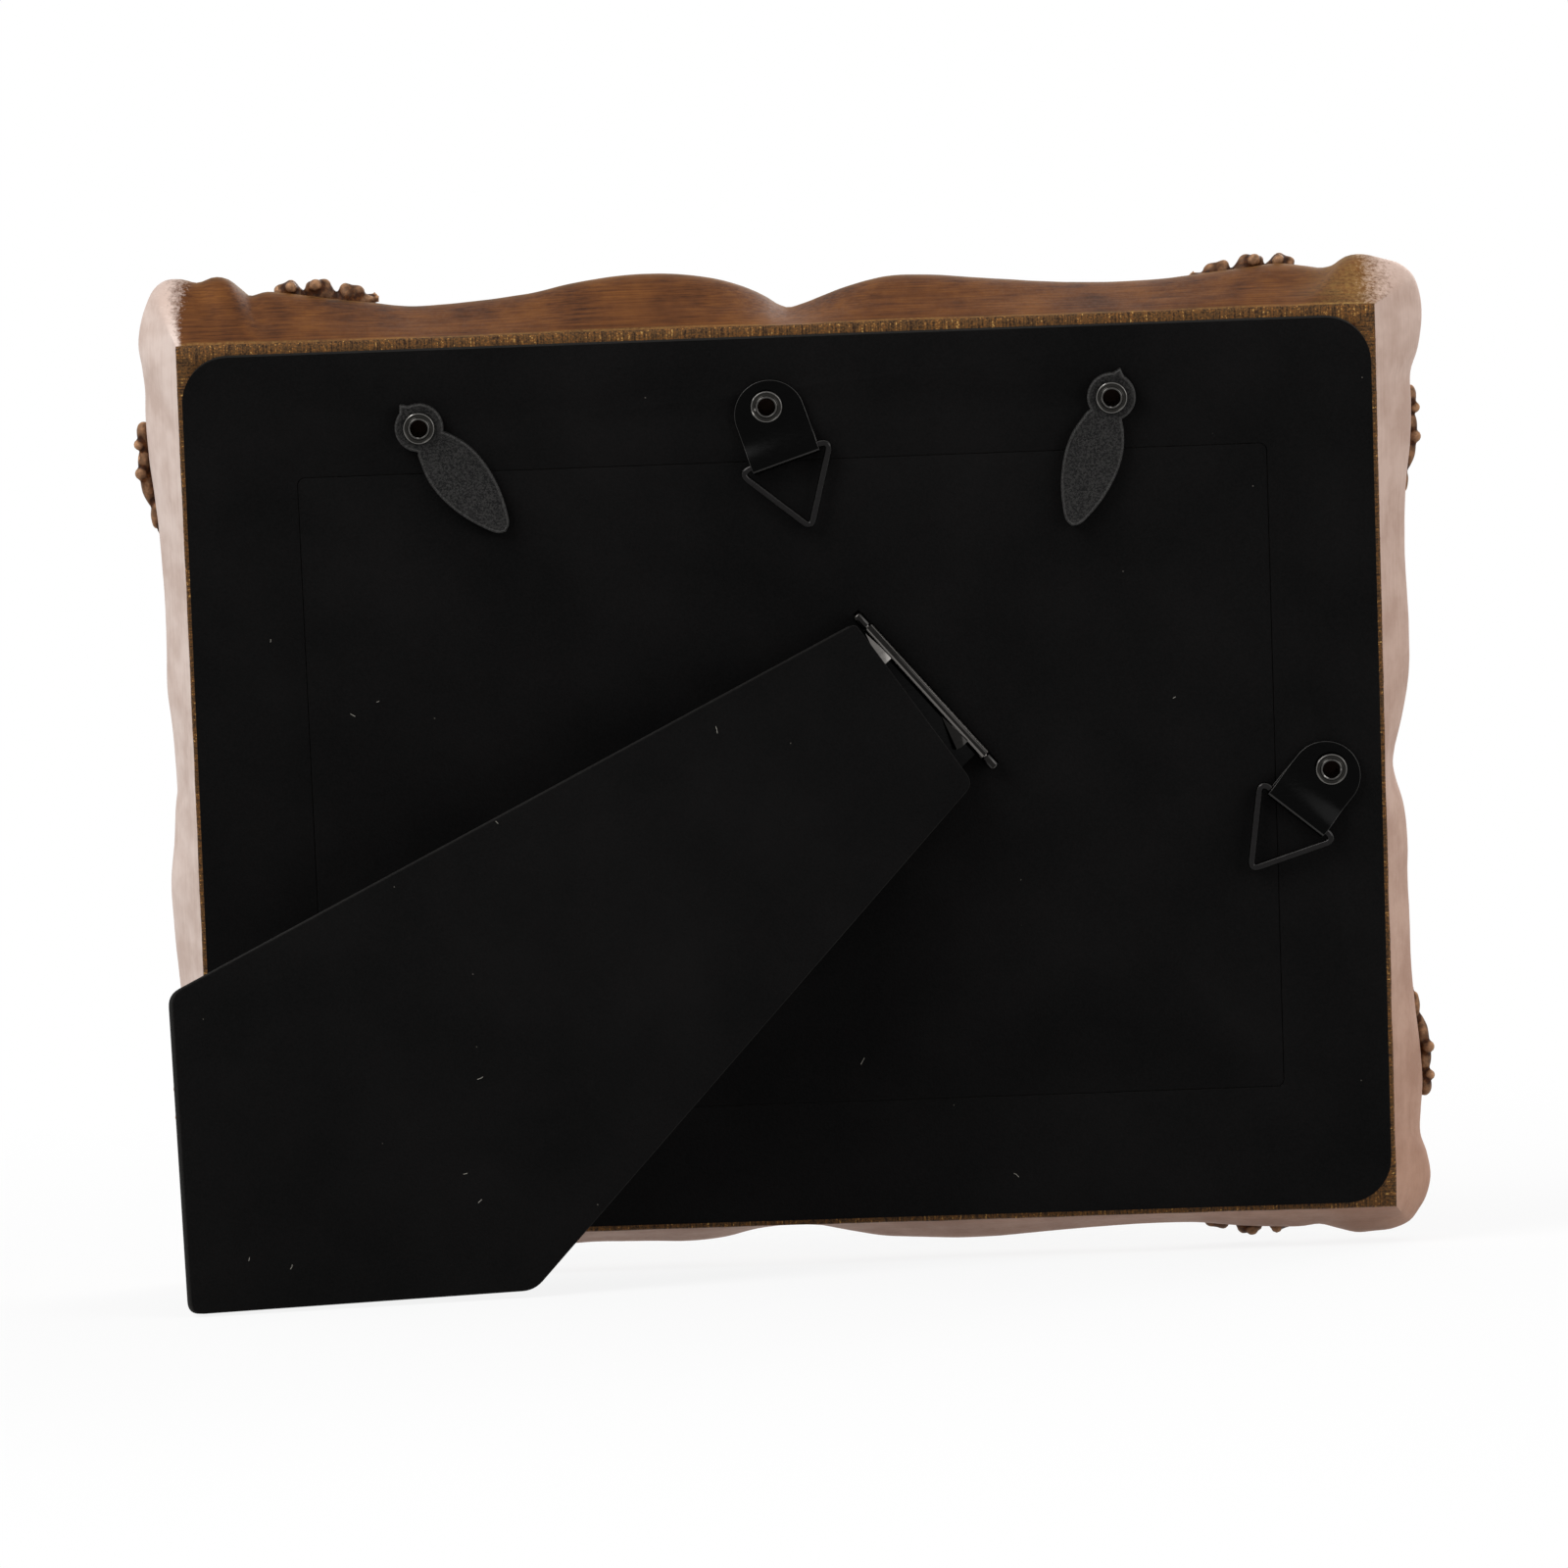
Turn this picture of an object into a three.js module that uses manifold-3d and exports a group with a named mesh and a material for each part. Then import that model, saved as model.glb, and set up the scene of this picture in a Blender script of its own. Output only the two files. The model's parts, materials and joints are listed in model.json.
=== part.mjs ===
// An ornate photo frame for a 15 x 10 cm print, standing on its open easel leg.
// Millimetres, +Z up, the picture faces -Y. The origin is under the middle of the object.
// Inside the frame group x runs to the right as seen from behind, y up along the board and
// z out of the back; z = 0 is the flat back face of the casting.
import * as THREE from 'three';
import { mergeVertices } from 'three/addons/utils/BufferGeometryUtils.js';
import Module from 'manifold-3d';

const wasm = await Module();
wasm.setup();

// Gap left between pieces that are glued or laid on each other
const SEAT_GAP = 0.3;

// The print and what lies in the rebate with it
const PRINT_WIDTH = 152;
const PRINT_HEIGHT = 102;
const REBATE_PLAY = 0.75;
const GLASS_THICKNESS = 1.8;
const INSERT_THICKNESS = 0.4;
const CARD_THICKNESS = 2.6;
const CARD_HEADROOM = 0.6;

// The door, which the print goes in through, and the fixed board round it
const DOOR_OVERLAP = 2;
const DOOR_CORNER = 1.5;
const DOOR_PLAY = 0.3;
const BOARD_BESIDE_DOOR = 17.2;
const BOARD_ABOVE_DOOR = 20;
const BOARD_CORNER = 8;
const BOARD_THICKNESS = 1.9;
const VELVET_THICKNESS = 0.4;

// The casting: its rim round the board, its flared side, its front roll and its sight edge
const RIM_SIDE = 0.8;
const RIM_TOP = 1.5;
const SIDE_DEPTH = 12.5;
const ROLL_DEPTH = 17;
const ROLL_WIDTH = 7;
const SIGHT_LIP = 3.5;
const LIP_THICKNESS = 4.8;
const BEAD_WIDTH = 6;
const BEAD_RISE = 3.4;

// The casting divides into four sides at its mitres, which run on past it by this share
const MITRE_GAP = 0.3;
const MITRE_OVERRUN = 0.5;
const CASTING_SIDES = {
  top: { long: true, sign: 1 },
  bottom: { long: true, sign: -1 },
  left: { long: false, sign: -1 },
  right: { long: false, sign: 1 },
};

// The casting's section in shares of the sizes above: its depth or rise, how far it lies in
// from the edge it is measured from, and how much of the scallops it takes
const SIDE_SHAPE = [{ depth: 0.45, wave: 0.5 }, { depth: 0.82, wave: 0.92 }, { depth: 1, wave: 1 }];
const ROLL_SHAPE = [
  { rise: 0.5, inward: 0.12, wave: 0.98 }, { rise: 1, inward: 0.45, wave: 0.92 },
  { rise: 0.8, inward: 1, wave: 0.75 }, { rise: 0.42, inward: 1.5, wave: 0.4 },
];
const BEAD_SHAPE = [
  { rise: 0.06, outward: 1.5, wave: 0.15 }, { rise: 0.24, outward: 1, wave: 0 },
  { rise: 1, outward: 0.6, wave: 0 }, { rise: 0.85, outward: 0.3, wave: 0 }, { rise: 0, outward: 0, wave: 0 },
];

// The scalloped outline, as how far it stands out from the back's edge. Along a side the place
// is the share of the way from the side's middle to the corner's lobes, which have real places.
const LONG_SIDE_WAVE = [[0, 0.3], [0.075, 2.8], [0.165, 4.8], [0.325, 5.7], [0.545, 4.4], [0.79, 2.4]];
const CORNER_WAVE = [
  [-30, 3.2], [-16, 5.3], [-9, 4.2], [-4, 6.6], [1, 6.3], [5.4, 4.2],
  [7.7, -1], [7.3, -6.5], [6.2, -11.5], [6.4, -17], [5.3, -28],
];
const CORNER_MITRE = 5;
const SHORT_SIDE_WAVE = [[0.6, 4.7], [0.3, 5.1], [0.11, 3.9], [0, 2.3]];
const LONG_SIDE_STEPS = 15;
const SHORT_SIDE_STEPS = 12;

// Garland of leaves and buds over each corner: place from the back's corner, radius
const GARLAND_CENTRES = [
  [-28, 4.2, 2.6], [-22.5, 5.2, 3.2], [-16.5, 4.6, 2.9], [-21, -2.5, 4.6],
  [-13.5, -5, 5.6], [-6.5, -9.5, 6.2], [-3.5, -18, 5.2],
  [1.5, -23.5, 4.2], [5.6, -17.5, 2.8], [6, -23.5, 3.1], [5.2, -29, 2.5],
];
const GARLAND_BELOW_ROLL = 1.5;
const GARLAND_FLATNESS = 0.75;

// Hollow rivets that hold the turn buttons and the hangers
const EYELET_BORE = 1.35;
const EYELET_WALL = 0.3;
const EYELET_FLANGE = 2.6;
const EYELET_FLANGE_HEIGHT = 0.7;
const EYELET_CLINCH = 0.45;
const EYELET_RUNNING_GAP = 0.2;
const EYELET_SIDES = 18;
const FLANGE_STEPS = 5;
const POCKET_PLAY = 0.8;
const POCKET_HEADROOM = 0.75;

// Turn buttons: a disc on its eyelet, a leaf-shaped blade and the moulding's nub opposite.
// The blade's shape is in shares of its reach from the eyelet and of half its width.
const BUTTON_THICKNESS = 1.4;
const BUTTON_DISC = 3.9;
const BUTTON_REACH = 21.8;
const BUTTON_BLADE_WIDTH = 9;
const BLADE_SHAPE = [
  [0.07, 0.6], [0.155, 0.67], [0.335, 0.955], [0.505, 1], [0.715, 0.82], [0.885, 0.5], [0.972, 0.25],
];
const BLADE_STEPS = 24;
const NUB_WIDTH = 1.8;
const NUB_LENGTH = 0.95;
const LEFT_BUTTON = { fromDoorSide: 20, aboveDoor: 7.7, turn: 37.4 };
const RIGHT_BUTTON = { fromDoorSide: 24.7, aboveDoor: 8.6, turn: -18.8 };

// Hangers: a strap folded round the wire of a triangular ring
const STRAP_WIDTH = 11.4;
const STRAP_SHEET = 0.45;
const STRAP_ABOVE_EYELET = 4.2;
const STRAP_BELOW_EYELET = 9.8;
const RING_WIRE = 0.575;
const RING_RUNNING_GAP = 0.25;
const RING_BESIDE_STRAP = 1.9;
const RING_HEIGHT = 13.1;
const RING_CORNER = 1.5;
const RING_SPLIT = 0.6;
const RING_STEPS = 44;
const TOP_HANGER = { x: -2.1, aboveDoor: 9.1, turn: 18 };
const SIDE_HANGER = { besideDoor: 9, y: -0.4, turn: -40 };

// Diagonal hinge of the easel leg: middle of its knuckle, slope and opening angle
const HINGE_X = 21.9;
const HINGE_Y = 14.9;
const HINGE_SLOPE = 50;
const HINGE_LENGTH = 33.2;
const LEG_OPENING = 20;
const HINGE_SHEET = 0.5;
const PIN_RADIUS = 0.45;
const PIN_GAP = 0.15;
const KNUCKLE_WALL = 0.45;
const EAR_LENGTH = 2.2;
const HINGE_FLAP = 9;
const LEAF_SHOULDER = 1.1;
const LEAF_INSERT = 9;
const DART_LENGTH = 6;
const DART_WIDTH = 2;
const DART_RISE = 0.8;
const DART_TAPER = 0.55;
const DART_SINK = 0.1;
const DART_PLACES = [-9.9, 7.9];

// The leg, laid out as it lies when it is folded flat against the board
const LEG_CORE = 2.2;
const LEG_LINING = 0.25;
const LEG_END_UPPER = { inHinge: 0.4, from: 3.1 };
const LEG_END_LOWER = { inHinge: 0.8, from: 5.3 };
const FOOT_BESIDE_BACK = 9;
const FOOT_BELOW_BACK = 2.5;
const FOOT_UPRIGHT = 50.5;
const FOOT_WIDTH = 55.5;
const LEG_CORNER = 2;
const LEG_SKIN_INSET = 0.5;

// How far a cutting tool runs past what it cuts
const OVERSHOOT = 1;

// How many facets a half or quarter turn gets, and a rod all the way round
const OUTLINE_SEGMENTS = 6;
const STRAP_SEGMENTS = 9;
const HOLE_SEGMENTS = 10;
const DISC_SEGMENTS = 14;
const WIRE_SEGMENTS = 4;
const ROD_SIDES = 16;
const PIN_SIDES = 14;
const LOOP_SIDES = 20;
const BUD_DETAIL = 1;

const radians = THREE.MathUtils.degToRad;

// Sizes of the door, the board, the casting's back, the rebate and the sight opening
const print = [PRINT_WIDTH, PRINT_HEIGHT];
const grown = ([width, height], side, top = side) => [width + 2 * side, height + 2 * top];
const rebate = grown(print, REBATE_PLAY);
const sight = grown(print, -SIGHT_LIP);
const door = grown(print, DOOR_OVERLAP);
const board = grown(door, BOARD_BESIDE_DOOR, BOARD_ABOVE_DOOR);
const back = grown(board, RIM_SIDE, RIM_TOP);
const [halfBackWidth, halfBackHeight] = [back[0] / 2, back[1] / 2];

// Levels above the casting's back face
const boardBottom = SEAT_GAP;
const boardTop = boardBottom + BOARD_THICKNESS;
const velvetBottom = boardTop + SEAT_GAP;
const velvetTop = velvetBottom + VELVET_THICKNESS;
const hardwareBottom = velvetTop + SEAT_GAP;
const strapTop = hardwareBottom + 2 * STRAP_SHEET;
const buttonTop = hardwareBottom + BUTTON_THICKNESS;
const liningBottom = hardwareBottom;
const coreBottom = liningBottom + LEG_LINING + SEAT_GAP;
const coreTop = coreBottom + LEG_CORE;
const legVelvetBottom = coreTop + SEAT_GAP;
const pivotLevel = (coreBottom + coreTop) / 2;

// Levels below it, from the hinge's flap inside the door down to the sight edge
const insideTop = boardBottom - SEAT_GAP;
const clinchBottom = insideTop - EYELET_CLINCH;
const cardTop = insideTop - HINGE_SHEET - CARD_HEADROOM;
const cardBottom = cardTop - CARD_THICKNESS;
const insertBottom = cardBottom - SEAT_GAP - INSERT_THICKNESS;
const glassBottom = insertBottom - SEAT_GAP - GLASS_THICKNESS;
const rebateFloor = glassBottom - SEAT_GAP;
const lipLevel = rebateFloor - LIP_THICKNESS;

const eyeletTube = EYELET_BORE + EYELET_WALL;
const eyeletHole = eyeletTube + EYELET_RUNNING_GAP;
const knuckleHole = PIN_RADIUS + PIN_GAP;
const knuckleRadius = knuckleHole + KNUCKLE_WALL;
const loopBore = RING_WIRE + RING_RUNNING_GAP;
const loopRadius = loopBore + STRAP_SHEET;
const loopDrop = STRAP_BELOW_EYELET - loopRadius;

// Places of the four eyelets on the board
const aboveDoor = (distance) => door[1] / 2 + distance;
const [doorLeft, doorRight] = [-door[0] / 2, door[0] / 2];
const buttonPlaces = {
  left: { ...LEFT_BUTTON, x: doorLeft + LEFT_BUTTON.fromDoorSide, y: aboveDoor(LEFT_BUTTON.aboveDoor) },
  right: { ...RIGHT_BUTTON, x: doorRight - RIGHT_BUTTON.fromDoorSide, y: aboveDoor(RIGHT_BUTTON.aboveDoor) },
};
const hangerPlaces = {
  top: { ...TOP_HANGER, y: aboveDoor(TOP_HANGER.aboveDoor) },
  side: { ...SIDE_HANGER, x: doorRight + SIDE_HANGER.besideDoor },
};
const eyeletPlaces = [...Object.values(buttonPlaces), ...Object.values(hangerPlaces)];

function finish(color, roughness, metalness) {
  return new THREE.MeshStandardMaterial({ color, roughness, metalness });
}

const resin = finish('#8a5f3e', 0.5, 0.35);
const clearGlass = finish('#dfe8ea', 0.06, 0);
const paper = finish('#e9e6df', 0.85, 0);
const greyCard = finish('#8d8679', 0.9, 0);
const fibreboard = finish('#4b3b2d', 0.9, 0);
const blackVelvet = finish('#141314', 0.95, 0);
const blackPaper = finish('#1c1b1b', 0.85, 0);
const blackPlastic = finish('#2a2929', 0.5, 0);
const blackSteel = finish('#171616', 0.3, 0.8);
const eyeletSteel = finish('#5c5854', 0.4, 0.9);

const WELD = 1e-4;

function toSolid(geometry) {
  const bare = geometry.clone();
  bare.deleteAttribute('normal');
  bare.deleteAttribute('uv');
  const merged = mergeVertices(bare, WELD);
  const mesh = new wasm.Mesh({
    numProp: 3,
    vertProperties: new Float32Array(merged.attributes.position.array),
    triVerts: new Uint32Array(merged.index.array),
  });
  return new wasm.Manifold(mesh);
}

function toGeometry(solid) {
  const mesh = solid.getMesh();
  const geometry = new THREE.BufferGeometry();
  geometry.setAttribute('position', new THREE.BufferAttribute(new Float32Array(mesh.vertProperties), 3));
  geometry.setIndex(new THREE.BufferAttribute(new Uint32Array(mesh.triVerts), 1));
  geometry.computeVertexNormals();
  return geometry;
}

function joined(first, ...others) {
  return others.reduce((solid, other) => solid.add(toSolid(other)), first);
}

function cut(first, ...tools) {
  return tools.reduce((solid, tool) => solid.subtract(toSolid(tool)), first);
}

// A flat piece: an outline drawn in x and y, from one level up to another
function plate(outline, bottom, top, curveSegments = OUTLINE_SEGMENTS) {
  const depth = top - bottom;
  const geometry = new THREE.ExtrudeGeometry(outline, { depth, bevelEnabled: false, curveSegments });
  geometry.translate(0, 0, bottom);
  return geometry;
}

function box([x0, x1], [y0, y1], [z0, z1]) {
  const geometry = new THREE.BoxGeometry(x1 - x0, y1 - y0, z1 - z0);
  geometry.translate((x0 + x1) / 2, (y0 + y1) / 2, (z0 + z1) / 2);
  return geometry;
}

// A rod that runs along x
function rod(radius, from, to, sides = ROD_SIDES) {
  const geometry = new THREE.CylinderGeometry(radius, radius, to - from, sides);
  geometry.rotateZ(Math.PI / 2);
  geometry.translate((from + to) / 2, 0, 0);
  return geometry;
}

// A closed outline through points, each corner eased by a curve that starts a given way off
function easedOutline(points, ease, Kind = THREE.Shape) {
  const outline = new Kind();
  points.forEach((corner, i) => {
    const before = points[(i + points.length - 1) % points.length];
    const after = points[(i + 1) % points.length];
    const start = corner.clone().add(before.clone().sub(corner).setLength(ease));
    const end = corner.clone().add(after.clone().sub(corner).setLength(ease));
    if (i === 0) outline.moveTo(start.x, start.y);
    else outline.lineTo(start.x, start.y);
    outline.quadraticCurveTo(corner.x, corner.y, end.x, end.y);
  });
  outline.closePath();
  return outline;
}

function easedRectangle([width, height], ease, Kind = THREE.Shape) {
  const [x, y] = [width / 2, height / 2];
  const corners = [[-x, -y], [x, -y], [x, y], [-x, y]].map(([a, b]) => new THREE.Vector2(a, b));
  return easedOutline(corners, ease, Kind);
}

function circle(radius) {
  return new THREE.Shape().absarc(0, 0, radius, 0, 2 * Math.PI, false);
}

function roundHole(x, y, radius) {
  return new THREE.Path().absarc(x, y, radius, 0, 2 * Math.PI, true);
}

// The casting's outline in one quarter, from the middle of a long side to the middle of a short one
function quarterOutline() {
  const alongLongSide = halfBackWidth + CORNER_WAVE[0][0];
  const alongShortSide = halfBackHeight + CORNER_WAVE.at(-1)[1];
  const points = [
    ...LONG_SIDE_WAVE.map(([share, out]) => [share * alongLongSide, halfBackHeight + out]),
    ...CORNER_WAVE.map(([x, y]) => [halfBackWidth + x, halfBackHeight + y]),
    ...SHORT_SIDE_WAVE.map(([share, out]) => [halfBackWidth + out, share * alongShortSide]),
  ];
  const curve = new THREE.CatmullRomCurve3(points.map(([x, y]) => new THREE.Vector3(x, y, 0)));
  const last = points.length - 1;
  const mitre = LONG_SIDE_WAVE.length + CORNER_MITRE;
  const steps = (from, to, count) => Array.from(
    { length: count },
    (_, i) => curve.getPoint((from + ((to - from) * i) / count) / last),
  );
  const longSide = steps(0, mitre, LONG_SIDE_STEPS);
  const shortSide = steps(mitre, last, SHORT_SIDE_STEPS);
  return { outline: [...longSide, ...shortSide, curve.getPoint(1)], corner: LONG_SIDE_STEPS };
}

// Each station holds its place on a unit rectangle and how far the outline stands out from the back
function stations() {
  const { outline, corner } = quarterOutline();
  const tip = outline[corner];
  const quarter = outline.map((point, i) => {
    const rectangle = i <= corner ? [point.x / tip.x, 1] : [1, point.y / tip.y];
    const wave = [point.x - rectangle[0] * halfBackWidth, point.y - rectangle[1] * halfBackHeight];
    return { rectangle, wave };
  });
  const mirrored = ({ rectangle, wave }, sx, sy) => ({
    rectangle: [rectangle[0] * sx, rectangle[1] * sy],
    wave: [wave[0] * sx, wave[1] * sy],
  });
  const inner = quarter.slice(1, -1);
  return [
    ...quarter.map((s) => mirrored(s, 1, 1)),
    ...inner.map((s) => mirrored(s, 1, -1)).reverse(),
    ...quarter.map((s) => mirrored(s, -1, -1)),
    ...inner.map((s) => mirrored(s, -1, 1)).reverse(),
  ];
}

// The casting's section, from the rebate's mouth round the back, side, front and sight edge
function castingSection() {
  const ring = (size, wave, level) => ({ size, wave, level });
  const rollRise = ROLL_DEPTH - SIDE_DEPTH;
  return [
    ring(rebate, 0, 0),
    ring(back, 0, 0),
    ...SIDE_SHAPE.map(({ depth, wave }) => ring(back, wave, -depth * SIDE_DEPTH)),
    ...ROLL_SHAPE.map(({ rise, inward, wave }) => (
      ring(grown(back, -inward * ROLL_WIDTH), wave, -SIDE_DEPTH - rise * rollRise))),
    ...BEAD_SHAPE.map(({ rise, outward, wave }) => (
      ring(grown(sight, outward * BEAD_WIDTH), wave, lipLevel - rise * BEAD_RISE))),
    ring(sight, 0, rebateFloor),
    ring(rebate, 0, rebateFloor),
  ];
}

function castingRing() {
  const places = stations();
  const section = castingSection();
  const positions = places.flatMap(({ rectangle, wave }) => section.flatMap((ring) => [
    rectangle[0] * ring.size[0] / 2 + wave[0] * ring.wave,
    rectangle[1] * ring.size[1] / 2 + wave[1] * ring.wave,
    ring.level,
  ]));
  const index = [];
  places.forEach((_, i) => section.forEach((__, j) => {
    const [i1, j1] = [(i + 1) % places.length, (j + 1) % section.length];
    const corner = (a, b) => a * section.length + b;
    index.push(corner(i, j), corner(i1, j1), corner(i, j1));
    index.push(corner(i, j), corner(i1, j), corner(i1, j1));
  }));
  const geometry = new THREE.BufferGeometry();
  geometry.setAttribute('position', new THREE.Float32BufferAttribute(positions, 3));
  geometry.setIndex(index);
  return geometry;
}

function garlandBuds() {
  const level = GARLAND_BELOW_ROLL - ROLL_DEPTH;
  const buds = [];
  for (const sx of [1, -1]) {
    for (const sy of [1, -1]) {
      for (const [x, y, radius] of GARLAND_CENTRES) {
        const bud = new THREE.IcosahedronGeometry(radius, BUD_DETAIL);
        bud.scale(1, 1, GARLAND_FLATNESS);
        bud.translate(sx * (halfBackWidth + x), sy * (halfBackHeight + y), level);
        buds.push(bud);
      }
    }
  }
  return buds;
}

// Room in the casting for the clinched end of each eyelet
function eyeletPockets() {
  const radius = EYELET_FLANGE + POCKET_PLAY;
  const depth = POCKET_HEADROOM - clinchBottom;
  return eyeletPlaces.map(({ x, y }) => {
    const pocket = plate(circle(radius), -depth, OVERSHOOT);
    pocket.translate(x, y, 0);
    return pocket;
  });
}

function wholeCasting() {
  const ring = toSolid(castingRing());
  return cut(joined(ring, ...garlandBuds()), ...eyeletPockets());
}

// What lies between the two mitres of a side. A mitre runs from the sight's corner through the
// outline's tip.
function betweenMitres({ long, sign }) {
  const { outline, corner } = quarterOutline();
  const [tip, inner] = [outline[corner], new THREE.Vector2(sight[0] / 2, sight[1] / 2)];
  const run = new THREE.Vector2(tip.x, tip.y).sub(inner);
  const [near, far] = [-MITRE_OVERRUN, 1 + MITRE_OVERRUN].map((share) => inner.clone().addScaledVector(run, share));
  const aside = MITRE_GAP * Math.SQRT1_2;
  const points = long
    ? [[near.x - aside, near.y], [far.x - aside, far.y], [aside - far.x, far.y], [aside - near.x, near.y]]
    : [[near.x, near.y - aside], [far.x, far.y - aside], [far.x, aside - far.y], [near.x, aside - near.y]];
  const outlined = new THREE.Shape(points.map(([x, y]) => new THREE.Vector2(sign * x, sign * y)));
  return plate(outlined, -2 * ROLL_DEPTH, OVERSHOOT);
}

// The board has the door's opening and a hole for each eyelet
function boardOutline() {
  const outline = easedRectangle(board, BOARD_CORNER);
  outline.holes.push(easedRectangle(grown(door, DOOR_PLAY), DOOR_CORNER, THREE.Path));
  for (const { x, y } of eyeletPlaces) outline.holes.push(roundHole(x, y, eyeletHole));
  return outline;
}

// Places a point given along the hinge and across it, away from the leg, on the board
function fromHinge(along, across) {
  const turned = new THREE.Vector2(along, across).rotateAround(new THREE.Vector2(), -radians(HINGE_SLOPE));
  return turned.add(new THREE.Vector2(HINGE_X, HINGE_Y));
}

// The door has a slit that the hinge's leaf passes through
function doorOutline() {
  const outline = easedRectangle(door, DOOR_CORNER);
  const [halfLength, halfSlit] = [HINGE_LENGTH / 2 + SEAT_GAP, HINGE_SHEET / 2 + SEAT_GAP];
  const corners = [[-1, -1], [1, -1], [1, 1], [-1, 1]];
  const slit = new THREE.Path(corners.map(([a, b]) => fromHinge(a * halfLength, b * halfSlit)));
  slit.closePath();
  outline.holes.push(slit);
  return outline;
}

// The foot's two square edges serve the frame's two ways up; a covering stops short of them
function legOutline(inset = 0) {
  const left = -halfBackWidth - FOOT_BESIDE_BACK;
  const bottom = -halfBackHeight - FOOT_BELOW_BACK;
  const corners = [
    fromHinge(LEG_END_UPPER.inHinge - HINGE_LENGTH / 2, -LEG_END_UPPER.from),
    new THREE.Vector2(left + inset, bottom + FOOT_UPRIGHT),
    new THREE.Vector2(left + inset, bottom + inset),
    new THREE.Vector2(left + FOOT_WIDTH, bottom + inset),
    fromHinge(HINGE_LENGTH / 2 - LEG_END_LOWER.inHinge, -LEG_END_LOWER.from),
  ];
  return easedOutline(corners, LEG_CORNER);
}

// The hinge's leaf in the leg: half its width, and how far it reaches from the pin
const halfKnuckle = HINGE_LENGTH / 2 - EAR_LENGTH - SEAT_GAP;
const halfLeaf = halfKnuckle - LEAF_SHOULDER;
const leafReach = LEG_END_LOWER.from + LEAF_INSERT;

// The leg's core has a slot in its end for the hinge's leaf
function legCore() {
  const halfWidth = halfLeaf + SEAT_GAP;
  const halfSlot = HINGE_SHEET / 2 + SEAT_GAP;
  const slot = box([-halfWidth, halfWidth], [-leafReach - SEAT_GAP, 0], [-halfSlot, halfSlot]);
  slot.rotateZ(-radians(HINGE_SLOPE));
  slot.translate(HINGE_X, HINGE_Y, pivotLevel);
  return toGeometry(cut(toSolid(plate(legOutline(), coreBottom, coreTop)), slot));
}

// A hollow rivet: a flat clinch inside, a tube, and a rolled flange on top of what it holds
function eyelet(flangeBottom) {
  const rollMiddle = (EYELET_FLANGE + EYELET_BORE) / 2;
  const rollHalf = (EYELET_FLANGE - EYELET_BORE) / 2;
  const roll = Array.from({ length: FLANGE_STEPS + 1 }, (_, i) => {
    const angle = (i * Math.PI) / FLANGE_STEPS;
    return [rollMiddle + rollHalf * Math.cos(angle), flangeBottom + EYELET_FLANGE_HEIGHT * Math.sin(angle)];
  });
  const profile = [
    [EYELET_BORE, clinchBottom],
    [EYELET_FLANGE, clinchBottom],
    [EYELET_FLANGE, insideTop],
    [eyeletTube, insideTop],
    [eyeletTube, flangeBottom],
    ...roll,
    [EYELET_BORE, clinchBottom],
  ].map(([r, z]) => new THREE.Vector2(r, z));
  const geometry = new THREE.LatheGeometry(profile, EYELET_SIDES);
  geometry.rotateX(Math.PI / 2);
  return geometry;
}

// The blade hangs down from the disc, which turns on its eyelet
function turnButton() {
  const halfWidth = BUTTON_BLADE_WIDTH / 2;
  const edge = BLADE_SHAPE.map(([down, out]) => new THREE.Vector2(out * halfWidth, -down * BUTTON_REACH));
  const otherEdge = edge.map(({ x, y }) => new THREE.Vector2(-x, y)).reverse();
  const tip = new THREE.Vector2(0, -BUTTON_REACH);
  const blade = new THREE.Shape(new THREE.SplineCurve([...edge, tip, ...otherEdge]).getPoints(BLADE_STEPS));
  const nubHalf = NUB_WIDTH / 2;
  const nubRoot = Math.sqrt(BUTTON_DISC ** 2 - nubHalf ** 2);
  const nub = new THREE.Shape();
  nub.moveTo(-nubHalf, 0);
  nub.lineTo(nubHalf, 0);
  nub.lineTo(nubHalf, nubRoot);
  nub.lineTo(0, BUTTON_DISC + NUB_LENGTH);
  nub.lineTo(-nubHalf, nubRoot);
  nub.closePath();
  const body = joined(
    toSolid(plate(circle(BUTTON_DISC), 0, BUTTON_THICKNESS, DISC_SEGMENTS)),
    plate(blade, 0, BUTTON_THICKNESS),
    plate(nub, 0, BUTTON_THICKNESS),
  );
  const hole = plate(circle(eyeletHole), -OVERSHOOT, BUTTON_THICKNESS + OVERSHOOT, HOLE_SEGMENTS);
  return toGeometry(cut(body, hole));
}

function strap() {
  const arcRadius = STRAP_WIDTH / 2;
  const arcCentre = STRAP_ABOVE_EYELET - arcRadius;
  const outline = new THREE.Shape();
  outline.moveTo(-arcRadius, -loopDrop);
  outline.lineTo(arcRadius, -loopDrop);
  outline.lineTo(arcRadius, arcCentre);
  outline.absarc(0, arcCentre, arcRadius, 0, Math.PI, false);
  outline.closePath();
  outline.holes.push(roundHole(0, 0, eyeletHole));
  const loop = rod(loopRadius, -arcRadius, arcRadius, LOOP_SIDES);
  loop.translate(0, -loopDrop, loopRadius);
  const bore = rod(loopBore, -arcRadius - OVERSHOOT, arcRadius + OVERSHOOT);
  bore.translate(0, -loopDrop, loopRadius);
  const sheets = toSolid(plate(outline, 0, 2 * STRAP_SHEET, STRAP_SEGMENTS));
  return toGeometry(cut(joined(sheets, loop), bore));
}

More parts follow.
